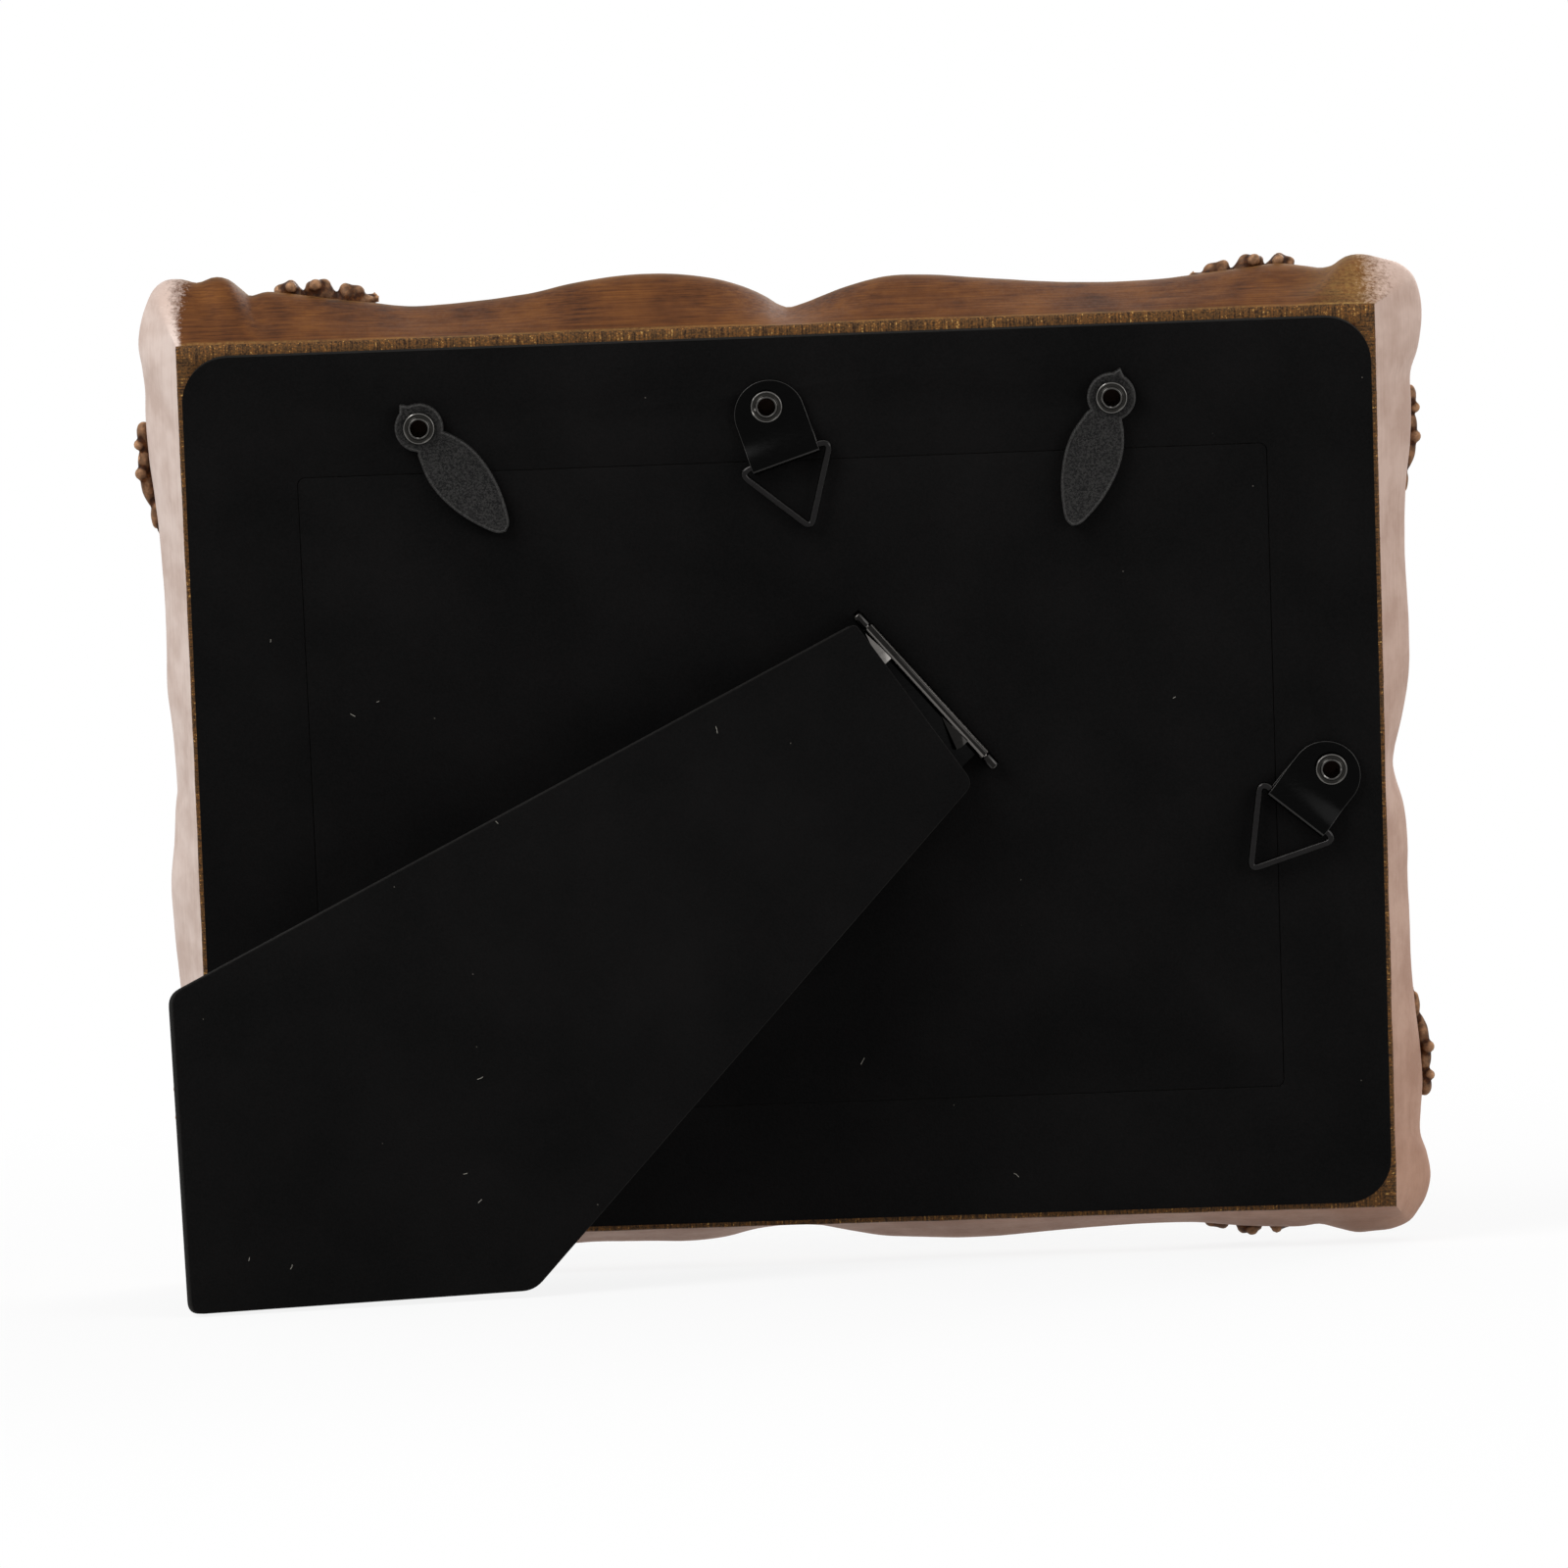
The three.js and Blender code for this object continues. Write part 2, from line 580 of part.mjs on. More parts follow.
// The wire starts and ends inside the fold, and its corners are eased
function ring() {
  const halfWidth = STRAP_WIDTH / 2 + RING_BESIDE_STRAP;
  const stops = [
    new THREE.Vector3(RING_SPLIT / 2, 0, 0),
    new THREE.Vector3(halfWidth, 0, 0),
    new THREE.Vector3(0, -RING_HEIGHT, 0),
    new THREE.Vector3(-halfWidth, 0, 0),
    new THREE.Vector3(-RING_SPLIT / 2, 0, 0),
  ];
  const path = new THREE.CurvePath();
  let from = stops[0];
  for (let i = 1; i < stops.length - 1; i += 1) {
    const into = stops[i].clone().add(stops[i - 1].clone().sub(stops[i]).setLength(RING_CORNER));
    const out = stops[i].clone().add(stops[i + 1].clone().sub(stops[i]).setLength(RING_CORNER));
    path.add(new THREE.LineCurve3(from, into));
    path.add(new THREE.QuadraticBezierCurve3(into, stops[i], out));
    from = out;
  }
  path.add(new THREE.LineCurve3(from, stops.at(-1)));
  const wire = { steps: RING_STEPS, extrudePath: path, curveSegments: WIRE_SEGMENTS };
  return new THREE.ExtrudeGeometry(circle(RING_WIRE), wire);
}

// The door's leaf: two ears round the pin, a web through the slit and a flap clinched inside
function doorLeaf() {
  const half = HINGE_LENGTH / 2;
  const halfSheet = HINGE_SHEET / 2;
  const flapTop = insideTop - pivotLevel;
  const flapBottom = flapTop - HINGE_SHEET;
  const webTop = -knuckleRadius - SEAT_GAP;
  const web = box([-half, half], [-halfSheet, halfSheet], [flapBottom, webTop]);
  const pieces = [box([-half, half], [-halfSheet, HINGE_FLAP], [flapBottom, flapTop])];
  for (const [from, to] of [[-half, EAR_LENGTH - half], [half - EAR_LENGTH, half]]) {
    pieces.push(box([from, to], [-halfSheet, halfSheet], [flapTop, -knuckleHole]));
    pieces.push(rod(knuckleRadius, from, to));
  }
  const bore = rod(knuckleHole, -half - OVERSHOOT, half + OVERSHOOT);
  return toGeometry(cut(joined(toSolid(web), ...pieces), bore));
}

// A pressed dart on a unit square, wider at its foot
function dart(place) {
  const shape = new THREE.CylinderGeometry(DART_TAPER * Math.SQRT1_2, Math.SQRT1_2, 1, 4);
  shape.rotateY(Math.PI / 4);
  shape.rotateX(Math.PI / 2);
  shape.scale(DART_LENGTH, DART_WIDTH, DART_RISE);
  const across = DART_SINK - knuckleRadius - DART_WIDTH / 2;
  shape.translate(place, across, (HINGE_SHEET + DART_RISE) / 2 - DART_SINK);
  return shape;
}

// The leg's leaf: a rolled knuckle, a strip into the leg's slot and two pressed darts
function legLeaf() {
  const halfSheet = HINGE_SHEET / 2;
  const strip = box([-halfLeaf, halfLeaf], [-leafReach, -knuckleHole], [-halfSheet, halfSheet]);
  const knuckle = rod(knuckleRadius, -halfKnuckle, halfKnuckle);
  const bore = rod(knuckleHole, -halfKnuckle - OVERSHOOT, halfKnuckle + OVERSHOOT);
  return toGeometry(cut(joined(toSolid(strip), knuckle, ...DART_PLACES.map(dart)), bore));
}

function hingePin() {
  return rod(PIN_RADIUS, -HINGE_LENGTH / 2, HINGE_LENGTH / 2, PIN_SIDES);
}

const part = new THREE.Group();
const frame = new THREE.Group();
part.add(frame);

function place(parent, name, geometry, material, [x, y, z] = [0, 0, 0]) {
  const mesh = new THREE.Mesh(geometry, material);
  mesh.name = name;
  mesh.position.set(x, y, z);
  parent.add(mesh);
  return mesh;
}

const inRebate = ([width, height], bottom, thickness) => (
  box([-width / 2, width / 2], [-height / 2, height / 2], [bottom, bottom + thickness]));
const casting = wholeCasting();
const castingSides = Object.entries(CASTING_SIDES).map(([side, share]) => {
  const solid = casting.intersect(toSolid(betweenMitres(share)));
  return place(frame, `moulding_${side}`, toGeometry(solid), resin);
});
place(frame, 'glass_pane', inRebate(print, glassBottom, GLASS_THICKNESS), clearGlass);
place(frame, 'print_insert', inRebate(print, insertBottom, INSERT_THICKNESS), paper);
place(frame, 'backing_card', inRebate(print, cardBottom, CARD_THICKNESS), greyCard);
place(frame, 'back_board', plate(boardOutline(), boardBottom, boardTop), fibreboard);
place(frame, 'back_board_velvet', plate(boardOutline(), velvetBottom, velvetTop), blackVelvet);
place(frame, 'door_panel', plate(doorOutline(), boardBottom, boardTop), fibreboard);
place(frame, 'door_velvet', plate(doorOutline(), velvetBottom, velvetTop), blackVelvet);

for (const [side, { x, y, turn }] of Object.entries(buttonPlaces)) {
  const button = place(frame, `turn_button_${side}`, turnButton(), blackPlastic, [x, y, hardwareBottom]);
  button.rotation.z = radians(turn);
  place(frame, `turn_button_eyelet_${side}`, eyelet(buttonTop + SEAT_GAP), eyeletSteel, [x, y, 0]);
}

for (const [side, { x, y, turn }] of Object.entries(hangerPlaces)) {
  const hanger = new THREE.Group();
  hanger.position.set(x, y, hardwareBottom);
  hanger.rotation.z = radians(turn);
  frame.add(hanger);
  place(hanger, `hanger_strap_${side}`, strap(), blackSteel);
  place(hanger, `hanger_ring_${side}`, ring(), blackSteel, [0, -loopDrop, loopRadius]);
  place(frame, `hanger_eyelet_${side}`, eyelet(strapTop + SEAT_GAP), eyeletSteel, [x, y, 0]);
}

// The hinge group's x runs along the knuckle and its y away from the leg
function hingeGroup(parent) {
  const group = new THREE.Group();
  group.position.set(HINGE_X, HINGE_Y, pivotLevel);
  group.rotation.z = -radians(HINGE_SLOPE);
  parent.add(group);
  return group;
}

const fixedHinge = hingeGroup(frame);
place(fixedHinge, 'hinge_leaf_door', doorLeaf(), blackSteel);
place(fixedHinge, 'hinge_pin', hingePin(), blackSteel);

// The leg swings open about the knuckle, which opens from the folded place of its outline
const opened = hingeGroup(frame);
opened.rotation.order = 'ZXY';
opened.rotation.x = -radians(LEG_OPENING);
place(opened, 'hinge_leaf_leg', legLeaf(), blackSteel);
const leg = new THREE.Group();
leg.rotation.z = radians(HINGE_SLOPE);
opened.add(leg);
const legSkin = (bottom, thickness) => plate(legOutline(LEG_SKIN_INSET), bottom, bottom + thickness);
const fromPin = [-HINGE_X, -HINGE_Y, -pivotLevel];
const foot = place(leg, 'easel_leg', legCore(), fibreboard, fromPin);
place(leg, 'leg_velvet', legSkin(legVelvetBottom, VELVET_THICKNESS), blackVelvet, fromPin);
place(leg, 'leg_lining', legSkin(liningBottom, LEG_LINING), blackPaper, fromPin);

// Leans the frame back until the foot and the casting's bottom stand on one level
function lean(angle) {
  const right = new THREE.Vector3(-1, 0, 0);
  const up = new THREE.Vector3(0, Math.sin(angle), Math.cos(angle));
  const out = new THREE.Vector3(0, Math.cos(angle), -Math.sin(angle));
  frame.quaternion.setFromRotationMatrix(new THREE.Matrix4().makeBasis(right, up, out));
  frame.updateMatrixWorld(true);
}

const MOST_LEAN = 45;
const LEAN_STEPS = 40;
const lowest = (mesh) => new THREE.Box3().setFromObject(mesh, true).min.z;
let [upright, tilted] = [0, radians(MOST_LEAN)];
for (let i = 0; i < LEAN_STEPS; i += 1) {
  const between = (upright + tilted) / 2;
  lean(between);
  if (lowest(foot) > Math.min(...castingSides.map(lowest))) upright = between;
  else tilted = between;
}

// Puts the origin under the middle of the object's box
const bounds = new THREE.Box3().setFromObject(part, true);
const middle = bounds.getCenter(new THREE.Vector3());
frame.position.set(-middle.x, -middle.y, -bounds.min.z);
part.updateMatrixWorld(true);

export default part;
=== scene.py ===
"""An ornate photo frame with an easel back, dressed around its packed model."""
import json
import math
import random
from contextlib import contextmanager

import bmesh
import bpy
from bpy.props import FloatProperty, FloatVectorProperty, PointerProperty
from bpy.types import Operator, Panel, PropertyGroup
from mathutils import Matrix, Vector


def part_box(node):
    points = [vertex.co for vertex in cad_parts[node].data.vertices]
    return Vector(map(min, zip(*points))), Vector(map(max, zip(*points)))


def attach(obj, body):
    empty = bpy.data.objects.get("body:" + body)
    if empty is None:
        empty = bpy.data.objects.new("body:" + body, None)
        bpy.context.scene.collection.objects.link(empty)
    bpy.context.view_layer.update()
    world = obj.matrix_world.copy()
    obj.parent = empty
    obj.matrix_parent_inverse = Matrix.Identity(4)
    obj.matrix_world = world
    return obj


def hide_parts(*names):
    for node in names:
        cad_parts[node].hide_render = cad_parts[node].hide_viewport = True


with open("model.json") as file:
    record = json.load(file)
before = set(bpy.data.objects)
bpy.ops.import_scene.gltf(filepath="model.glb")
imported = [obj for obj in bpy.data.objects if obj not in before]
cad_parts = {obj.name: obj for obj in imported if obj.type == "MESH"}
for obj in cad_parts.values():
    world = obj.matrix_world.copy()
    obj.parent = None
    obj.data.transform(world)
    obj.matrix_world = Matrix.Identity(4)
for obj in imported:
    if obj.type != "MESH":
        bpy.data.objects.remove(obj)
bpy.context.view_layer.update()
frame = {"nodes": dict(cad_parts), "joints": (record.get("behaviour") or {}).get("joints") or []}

bl_info = {
    "name": "Ornate photo frame",
    "version": (1, 0, 0),
    "blender": (4, 5, 0),
    "location": "View3D > Sidebar > Photo frame",
    "description": "Builds an ornate resin photo frame with a velvet easel back around its packed model",
    "category": "Object",
}

# Every size below is in millimetres, in the space of the piece that it belongs to
MM = 0.001


def joint(name):
    """A joint of the packed record, by its name."""
    return next(entry for entry in frame["joints"] if entry["name"] == name)


CASTING_NODES = ["moulding_top", "moulding_bottom", "moulding_left", "moulding_right"]


def points_of(node):
    """Where the vertices of a CAD node lie."""
    return [vertex.co for vertex in frame["nodes"][node].data.vertices]


def find_board_space():
    """Board space: x to the right as seen from behind, y up the board, z out of the casting's flat back."""
    out = Vector(joint("left_button_turn")["axis"]).normalized()
    right = Vector((-1, 0, 0))
    up = out.cross(right)
    low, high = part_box("back_board")
    centre = (low + high) / 2
    back_level = max(out.dot(point) for point in points_of(CASTING_NODES[0]))
    origin = centre + out * (back_level - out.dot(centre))
    turned = Matrix((right, up, out)).transposed().to_4x4()
    return Matrix.Translation(origin) @ turned @ Matrix.Scale(MM, 4)


BOARD = find_board_space()


def on_board(place):
    """A place in the row's frame, in the board's millimetres."""
    return BOARD.inverted() @ Vector(place)


def extent(node, space=BOARD):
    """Lowest and highest corners of a CAD node in a space."""
    inverse = space.inverted()
    points = [inverse @ point for point in points_of(node)]
    low = Vector([min(point[i] for point in points) for i in range(3)])
    high = Vector([max(point[i] for point in points) for i in range(3)])
    return low, high


def swung(space, name, degrees):
    """A space turned about a joint."""
    hinge = joint(name)
    place = Matrix.Translation(Vector(hinge["pos_m"]))
    turn = Matrix.Rotation(math.radians(degrees), 4, Vector(hinge["axis"]))
    return place @ turn @ place.inverted() @ space


def hanging_space(place, towards):
    """A space on the board whose origin is at one place and whose -y points to another."""
    start, end = on_board(place), on_board(towards)
    turn = math.atan2(end.x - start.x, start.y - end.y)
    return BOARD @ Matrix.Translation((start.x, start.y, 0)) @ Matrix.Rotation(turn, 4, "Z")


def farthest(node, place):
    """The vertex of a CAD node that lies farthest from a place, such as a blade's tip from its eyelet."""
    start = Vector(place)
    return max(points_of(node), key=lambda point: (point - start).length)


def find_hinge_space():
    """Hinge space: x down along the knuckle, y away from the leg, z out of the board, origin on the pin."""
    hinge = joint("leg_hinge")
    along = (BOARD.inverted().to_3x3() @ Vector(hinge["axis"])).normalized()
    slope = math.atan2(-along.y, -along.x)
    return BOARD @ Matrix.Translation(on_board(hinge["pos_m"])) @ Matrix.Rotation(slope, 4, "Z")


OPENING = -min(joint("leg_hinge")["range_deg"])
LEG = swung(BOARD, "leg_hinge", OPENING)
HINGE = find_hinge_space()
HINGE_ON_LEG = swung(HINGE, "leg_hinge", OPENING)
BUTTONS = {
    side: hanging_space(
        joint(f"{side}_button_turn")["pos_m"],
        farthest(f"turn_button_{side}", joint(f"{side}_button_turn")["pos_m"]),
    )
    for side in ("left", "right")
}
HANGERS = {
    side: hanging_space(joint(f"{side}_hanger_swivel")["pos_m"], joint(f"{side}_ring_swing")["pos_m"])
    for side in ("top", "side")
}


def grown(half, by):
    """A half size made larger by as much in width as in height."""
    return half + Vector((by, by))


# Half sizes of the board, the casting's back round it, the rebate and the sight opening, and half the
# length of the hinge's pin
RIM_SIDE = 0.8
RIM_TOP = 1.5
REBATE_PLAY = 0.75
SIGHT_LIP = 3.5
HALF_BOARD = extent("back_board")[1].xy
HALF_DOOR = extent("door_panel")[1].xy
HALF_PRINT = extent("glass_pane")[1].xy
HALF_BACK = HALF_BOARD + Vector((RIM_SIDE, RIM_TOP))
HALF_REBATE = grown(HALF_PRINT, REBATE_PLAY)
HALF_SIGHT = grown(HALF_PRINT, -SIGHT_LIP)
HALF_PIN = extent("hinge_pin", HINGE)[1].x

# The back is a little out of square: how far its left corners lie off the rectangle
BACK_SKEW = {(-1, 1): (-0.7, 0), (-1, -1): (-1.6, 0.9)}


def askew(place):
    """A place on the back, moved by the skew of its corners."""
    moved = Vector(place)
    for (sx, sy), off in BACK_SKEW.items():
        share = (1 + sx * place[0] / HALF_BACK.x) * (1 + sy * place[1] / HALF_BACK.y) / 4
        moved += Vector(off) * share
    return moved


# A rectangle's corners, anticlockwise
CORNERS = ((1, 1), (-1, 1), (-1, -1), (1, -1))

# Levels out of the casting's back: the board, its velvet, the rebate's floor and the end of the flared
# side. A seat's gap keeps a piece off the one that it lies in.
BOARD_BOTTOM, BOARD_TOP = (corner.z for corner in extent("back_board"))
VELVET_TOP = extent("back_board_velvet")[1].z
SEAT_GAP = 0.3
REBATE_FLOOR = extent("glass_pane")[0].z - SEAT_GAP
SIDE_DEPTH = 12.5

# The scalloped outline of each quarter, which the hand-worked mould varies. Along a side it is the
# distance from the side's middle and how far it stands out from the back's edge; round a corner it
# is the place from the back's corner.
OUTLINE = {
    (1, 1): (
        [
            (0, 2.0), (1.8, 1.3), (4.4, 1.9), (10.8, 4.2), (17.3, 5.7), (24, 5.8), (33, 5), (43, 4),
            (53, 3.5), (62, 3.7),
        ],
        [
            (-28, 4.2), (-21, 4.9), (-14.5, 5.5), (-10, 4.9), (-7.6, 4.5), (-5.6, 4.9), (-3.6, 6.2),
            (-1, 6.5), (2, 5.8), (5, 4.8), (7.2, 2.8), (8.3, -0.8), (8.4, -5), (7.7, -9), (6.4, -12.8),
            (6.4, -18), (6, -25),
        ],
        [(43, 5.2), (35.7, 4.8), (29, 4.8), (20, 5.1), (13, 5), (8, 4.3), (3.2, 3.2), (0, 2.3)],
    ),
    (-1, 1): (
        [
            (0, 2.0), (1.9, 3.3), (8.2, 6), (14.5, 7.2), (20.8, 7.6), (27, 7.3), (33.6, 6.4), (40, 5.1),
            (49, 4.2), (59, 3.7),
        ],
        [
            (-30, 4.6), (-24, 5.4), (-18, 6.3), (-13.5, 6.9), (-10.6, 6.4), (-9.2, 7.5), (-7.2, 9.2),
            (-5.2, 9.6), (-2.3, 8.8), (0.4, 9.5), (2.8, 9.4), (4.8, 8), (6.3, 5.1), (7.4, 1.5), (7.7, -1.5),
            (7.3, -4.5), (7, -8.4), (7.1, -13), (6.8, -20), (6.2, -27),
        ],
        [(43, 5.9), (36.7, 5.6), (30, 5.5), (23.7, 5.6), (17, 5.8), (10.7, 5.3), (4, 5.1), (0, 5)],
    ),
    (1, -1): (
        [
            (0, 1.9), (5.2, 3.2), (11.6, 4.6), (18, 5.1), (24.6, 5.5), (31, 5.4), (37.6, 5), (46, 4.5),
            (55, 4.2), (63.5, 4.3),
        ],
        [
            (-26, 5), (-20, 5.5), (-15, 5.6), (-12, 5.3), (-9, 6.2), (-6, 7), (-3, 6.9), (0, 6.6), (2.8, 5.4),
            (4.4, 3.4), (5.6, 1.4), (6.5, -2.4), (6, -6), (5, -9.4), (5.1, -13), (5.5, -18), (5.2, -25),
        ],
        [(42.7, 4.5), (36, 4.1), (29.5, 4.1), (23, 3.9), (16.4, 4), (9.8, 3.5), (3.2, 1.9), (0, 2.3)],
    ),
    (-1, -1): (
        [
            (0, 1.9), (7.7, 2.4), (14.3, 3.9), (20.8, 4.4), (27.3, 4.1), (35, 4), (45, 4.2), (55, 4.2),
            (64, 4.4),
        ],
        [
            (-26, 5), (-20, 5.5), (-15, 5.6), (-12, 5.3), (-9, 6.2), (-6, 7), (-3, 6.9), (0, 6.6), (2.8, 5.4),
            (4.6, 3.4), (5.8, 1.4), (6.6, -3), (6.8, -7), (6.4, -12), (6.2, -18), (5.8, -25),
        ],
        [(42, 5.7), (36, 5.9), (28.6, 6.4), (22, 6.7), (15.5, 6.8), (8.9, 6), (2.5, 5.4), (0, 5)],
    ),
}


def smooth(points, samples):
    """Points along a centripetal curve through the given ones, so many to a stretch."""
    ends = [2 * points[0] - points[1], *points, 2 * points[-1] - points[-2]]
    course = []
    for p0, p1, p2, p3 in zip(ends, ends[1:], ends[2:], ends[3:]):
        d0, d1, d2 = (math.sqrt((b - a).length) for a, b in ((p0, p1), (p1, p2), (p2, p3)))
        leave = ((p1 - p0) / d0 - (p2 - p0) / (d0 + d1) + (p2 - p1) / d1) * d1
        arrive = ((p2 - p1) / d1 - (p3 - p1) / (d1 + d2) + (p3 - p2) / d2) * d1
        for i in range(samples):
            t = i / samples
            start = p1 * ((1 + 2 * t) * (1 - t) ** 2) + leave * (t * (1 - t) ** 2)
            course.append(start + p2 * (t * t * (3 - 2 * t)) + arrive * (t * t * (t - 1)))
    return [*course, points[-1]]


def evenly(points, step):
    """Points at an even step along a line of close points, from its first to its last."""
    lengths = [0.0]
    for a, b in zip(points, points[1:]):
        lengths.append(lengths[-1] + (b - a).length)
    count = max(1, round(lengths[-1] / step))
    places = []
    i = 0
    for k in range(count):
        target = lengths[-1] * k / count
        while lengths[i + 1] < target:
            i += 1
        share = (target - lengths[i]) / (lengths[i + 1] - lengths[i])
        places.append(points[i].lerp(points[i + 1], share))
    return [*places, points[-1]]


OUTLINE_SAMPLES = 30


def outline_quarter(quarter, step):
    """The outline in one quarter: from a long side's middle to the mitre, and on to a short side's middle.
    The mitre meets it at the corner's farthest place."""
    long_side, corner, short_side = OUTLINE[quarter]
    points = [Vector((x, HALF_BACK.y + out)) for x, out in long_side]
    points += [HALF_BACK + Vector(place) for place in corner]
    points += [Vector((HALF_BACK.x + out, y)) for y, out in short_side]
    curve = smooth(points, OUTLINE_SAMPLES)
    mitre = (len(long_side) + corner.index(max(corner, key=sum))) * OUTLINE_SAMPLES
    return evenly(curve[:mitre + 1], step), evenly(curve[mitre:], step)


def quarter_stations(quarter, step):
    """A quarter's stations: each one's place on a unit rectangle, and how far the outline stands out."""
    long_side, short_side = outline_quarter(quarter, step)
    tip = long_side[-1]
    units = [Vector((point.x / tip.x, 1)) for point in long_side]
    units += [Vector((1, point.y / tip.y)) for point in short_side[1:]]
    sign = Vector(quarter)
    return [
        (unit * sign, (point - unit * HALF_BACK) * sign)
        for unit, point in zip(units, long_side + short_side[1:])
    ]


def casting_stations(step):
    """Stations all the way round the outline, without its shared middles twice."""
    return [
        *quarter_stations((1, 1), step),
        *quarter_stations((1, -1), step)[-2:0:-1],
        *quarter_stations((-1, -1), step),
        *quarter_stations((-1, 1), step)[-2:0:-1],
    ]


# Modelling: each helper does one thing that is done by hand in the viewport


def add(operator, **settings):
    """Adds a primitive with nothing else selected, and returns it."""
    bpy.ops.object.select_all(action="DESELECT")
    operator(**settings)
    return bpy.context.object


def activate(piece):
    """Makes a piece the only selected one."""
    bpy.ops.object.select_all(action="DESELECT")
    piece.select_set(True)
    bpy.context.view_layer.objects.active = piece


@contextmanager
def editing(piece):
    """Edit mode on one piece, with none of its faces selected."""
    activate(piece)
    bpy.ops.object.mode_set(mode="EDIT")
    bpy.ops.mesh.select_mode(type="FACE")
    bpy.ops.mesh.select_all(action="DESELECT")
    yield
    bpy.ops.object.mode_set(mode="OBJECT")


def pick_faces(piece, test):
    """Selects the faces that pass a test, in edit mode."""
    mesh = bmesh.from_edit_mesh(piece.data)
    for face in mesh.faces:
        if test(face):
            face.select_set(True)
    bmesh.update_edit_mesh(piece.data)


def modify(piece, kind, **settings):
    """Gives a piece a modifier, and applies it."""
    modifier = piece.modifiers.new(kind.title(), kind)
    for name, value in settings.items():
        setattr(modifier, name, value)
    activate(piece)
    bpy.ops.object.modifier_apply(modifier=modifier.name)


def carve(piece, tool, operation="DIFFERENCE"):
    """Cuts a tool out of a piece, or joins the two, and deletes the tool."""
    modify(piece, "BOOLEAN", object=tool, operation=operation, solver="EXACT")
    bpy.data.objects.remove(tool)


def two_finishes(piece):
    """Makes room for a piece's main finish and a second one, for its abraded edges and painted highlights."""
    while len(piece.data.materials) < 2:
        piece.data.materials.append(None)


def paint_highlights_on(piece, test):
    """Gives the faces that pass a test the piece's second, lighter finish: a painted highlight."""
    two_finishes(piece)
    piece.active_material_index = 1
    with editing(piece):
        pick_faces(piece, test)
        bpy.ops.object.material_slot_assign()


def soften(piece, width, segments=2, angle=35, worn=False):
    """Rounds the edges that turn by more than an angle, and gives them a finish of their own if asked: a
    lighter one, for abrasion and a painted highlight.
    """
    if worn:
        two_finishes(piece)
    modify(
        piece, "BEVEL", width=width, segments=segments, limit_method="ANGLE",
        angle_limit=math.radians(angle), use_clamp_overlap=True, material=1 if worn else -1,
    )


def outward(piece, weld=None):
    """Turns a closed shell's faces outwards, once its doubles are merged if a distance is given."""
    with editing(piece):
        bpy.ops.mesh.select_all(action="SELECT")
        if weld:
            bpy.ops.mesh.remove_doubles(threshold=weld)
        bpy.ops.mesh.normals_make_consistent(inside=False)


def plate(outline, bottom, top):
    """A flat solid: a filled ring laid on an outline, drawn out from one level to another."""
    piece = add(bpy.ops.mesh.primitive_circle_add, vertices=len(outline), fill_type="NGON")
    for vertex, (x, y) in zip(piece.data.vertices, outline):
        vertex.co = (x, y, bottom)
    with editing(piece):
        bpy.ops.mesh.select_all(action="SELECT")
        bpy.ops.mesh.extrude_region_move(TRANSFORM_OT_translate={"value": (0, 0, top - bottom)})
    outward(piece)
    return piece


def across(outline, low, high):
    """A solid whose outline lies in y and z, drawn out along x from one place to another."""
    piece = plate(outline, low, high)
    piece.data.transform(Matrix(((0, 0, 1, 0), (1, 0, 0, 0), (0, 1, 0, 0), (0, 0, 0, 1))))
    return piece


def rod(radius, start, end, sides=48):
    """A round bar between two places."""
    start, end = Vector(start), Vector(end)
    piece = add(
        bpy.ops.mesh.primitive_cylinder_add, vertices=sides, radius=radius, depth=(end - start).length,
    )
    turn = (end - start).to_track_quat("Z", "Y").to_matrix().to_4x4()
    piece.data.transform(Matrix.Translation((start + end) / 2) @ turn)
    return piece


def block(low, high):
    """A plain box between two corners, used as a cutting tool."""
    low, high = Vector(low), Vector(high)
    piece = add(bpy.ops.mesh.primitive_cube_add, size=1)
    piece.data.transform(Matrix.Translation((low + high) / 2) @ Matrix.Diagonal((*(high - low), 1)))
    return piece


WELD = 1e-4


def swept(stations, rings, place):
    """A closed sweep: a grid laid on places by station and ring, with its meeting edges merged."""
    piece = add(
        bpy.ops.mesh.primitive_grid_add, x_subdivisions=stations, y_subdivisions=rings, size=2,
    )
    for vertex in piece.data.vertices:
        station = round((vertex.co.x + 1) / 2 * stations) % stations
        ring = round((vertex.co.y + 1) / 2 * rings) % rings
        vertex.co = place(station, ring)
    outward(piece, weld=WELD)
    return piece


def turned(profile, steps):
    """A turned piece: a closed profile of radius and height, swept round z."""
    def place(station, ring):
        angle = 2 * math.pi * station / steps
        radius, height = profile[ring]
        return radius * math.cos(angle), radius * math.sin(angle), height
    return swept(steps, len(profile), place)


def tube(points, radii, sides=12):
    """A round bar along a line of points, its radius given at each point."""
    piece = add(bpy.ops.curve.primitive_nurbs_path_add)
    curve = piece.data
    curve.splines.clear()
    spline = curve.splines.new("POLY")
    spline.points.add(len(points) - 1)
    for entry, point, radius in zip(spline.points, points, radii):
        entry.co = (*point, 1)
        entry.radius = radius
    curve.bevel_depth = 1
    curve.bevel_resolution = sides // 4 - 1
    curve.use_fill_caps = True
    bpy.ops.object.convert(target="MESH")
    piece = bpy.context.object
    outward(piece, weld=WELD)
    return piece


def copy_of(piece, placing):
    """A copy with its own mesh, laid down by a matrix, its faces turned back if that mirrors them."""
    twin = piece.copy()
    twin.data = piece.data.copy()
    bpy.context.collection.objects.link(twin)
    twin.data.transform(placing)
    if placing.determinant() < 0:
        twin.data.flip_normals()
    return twin


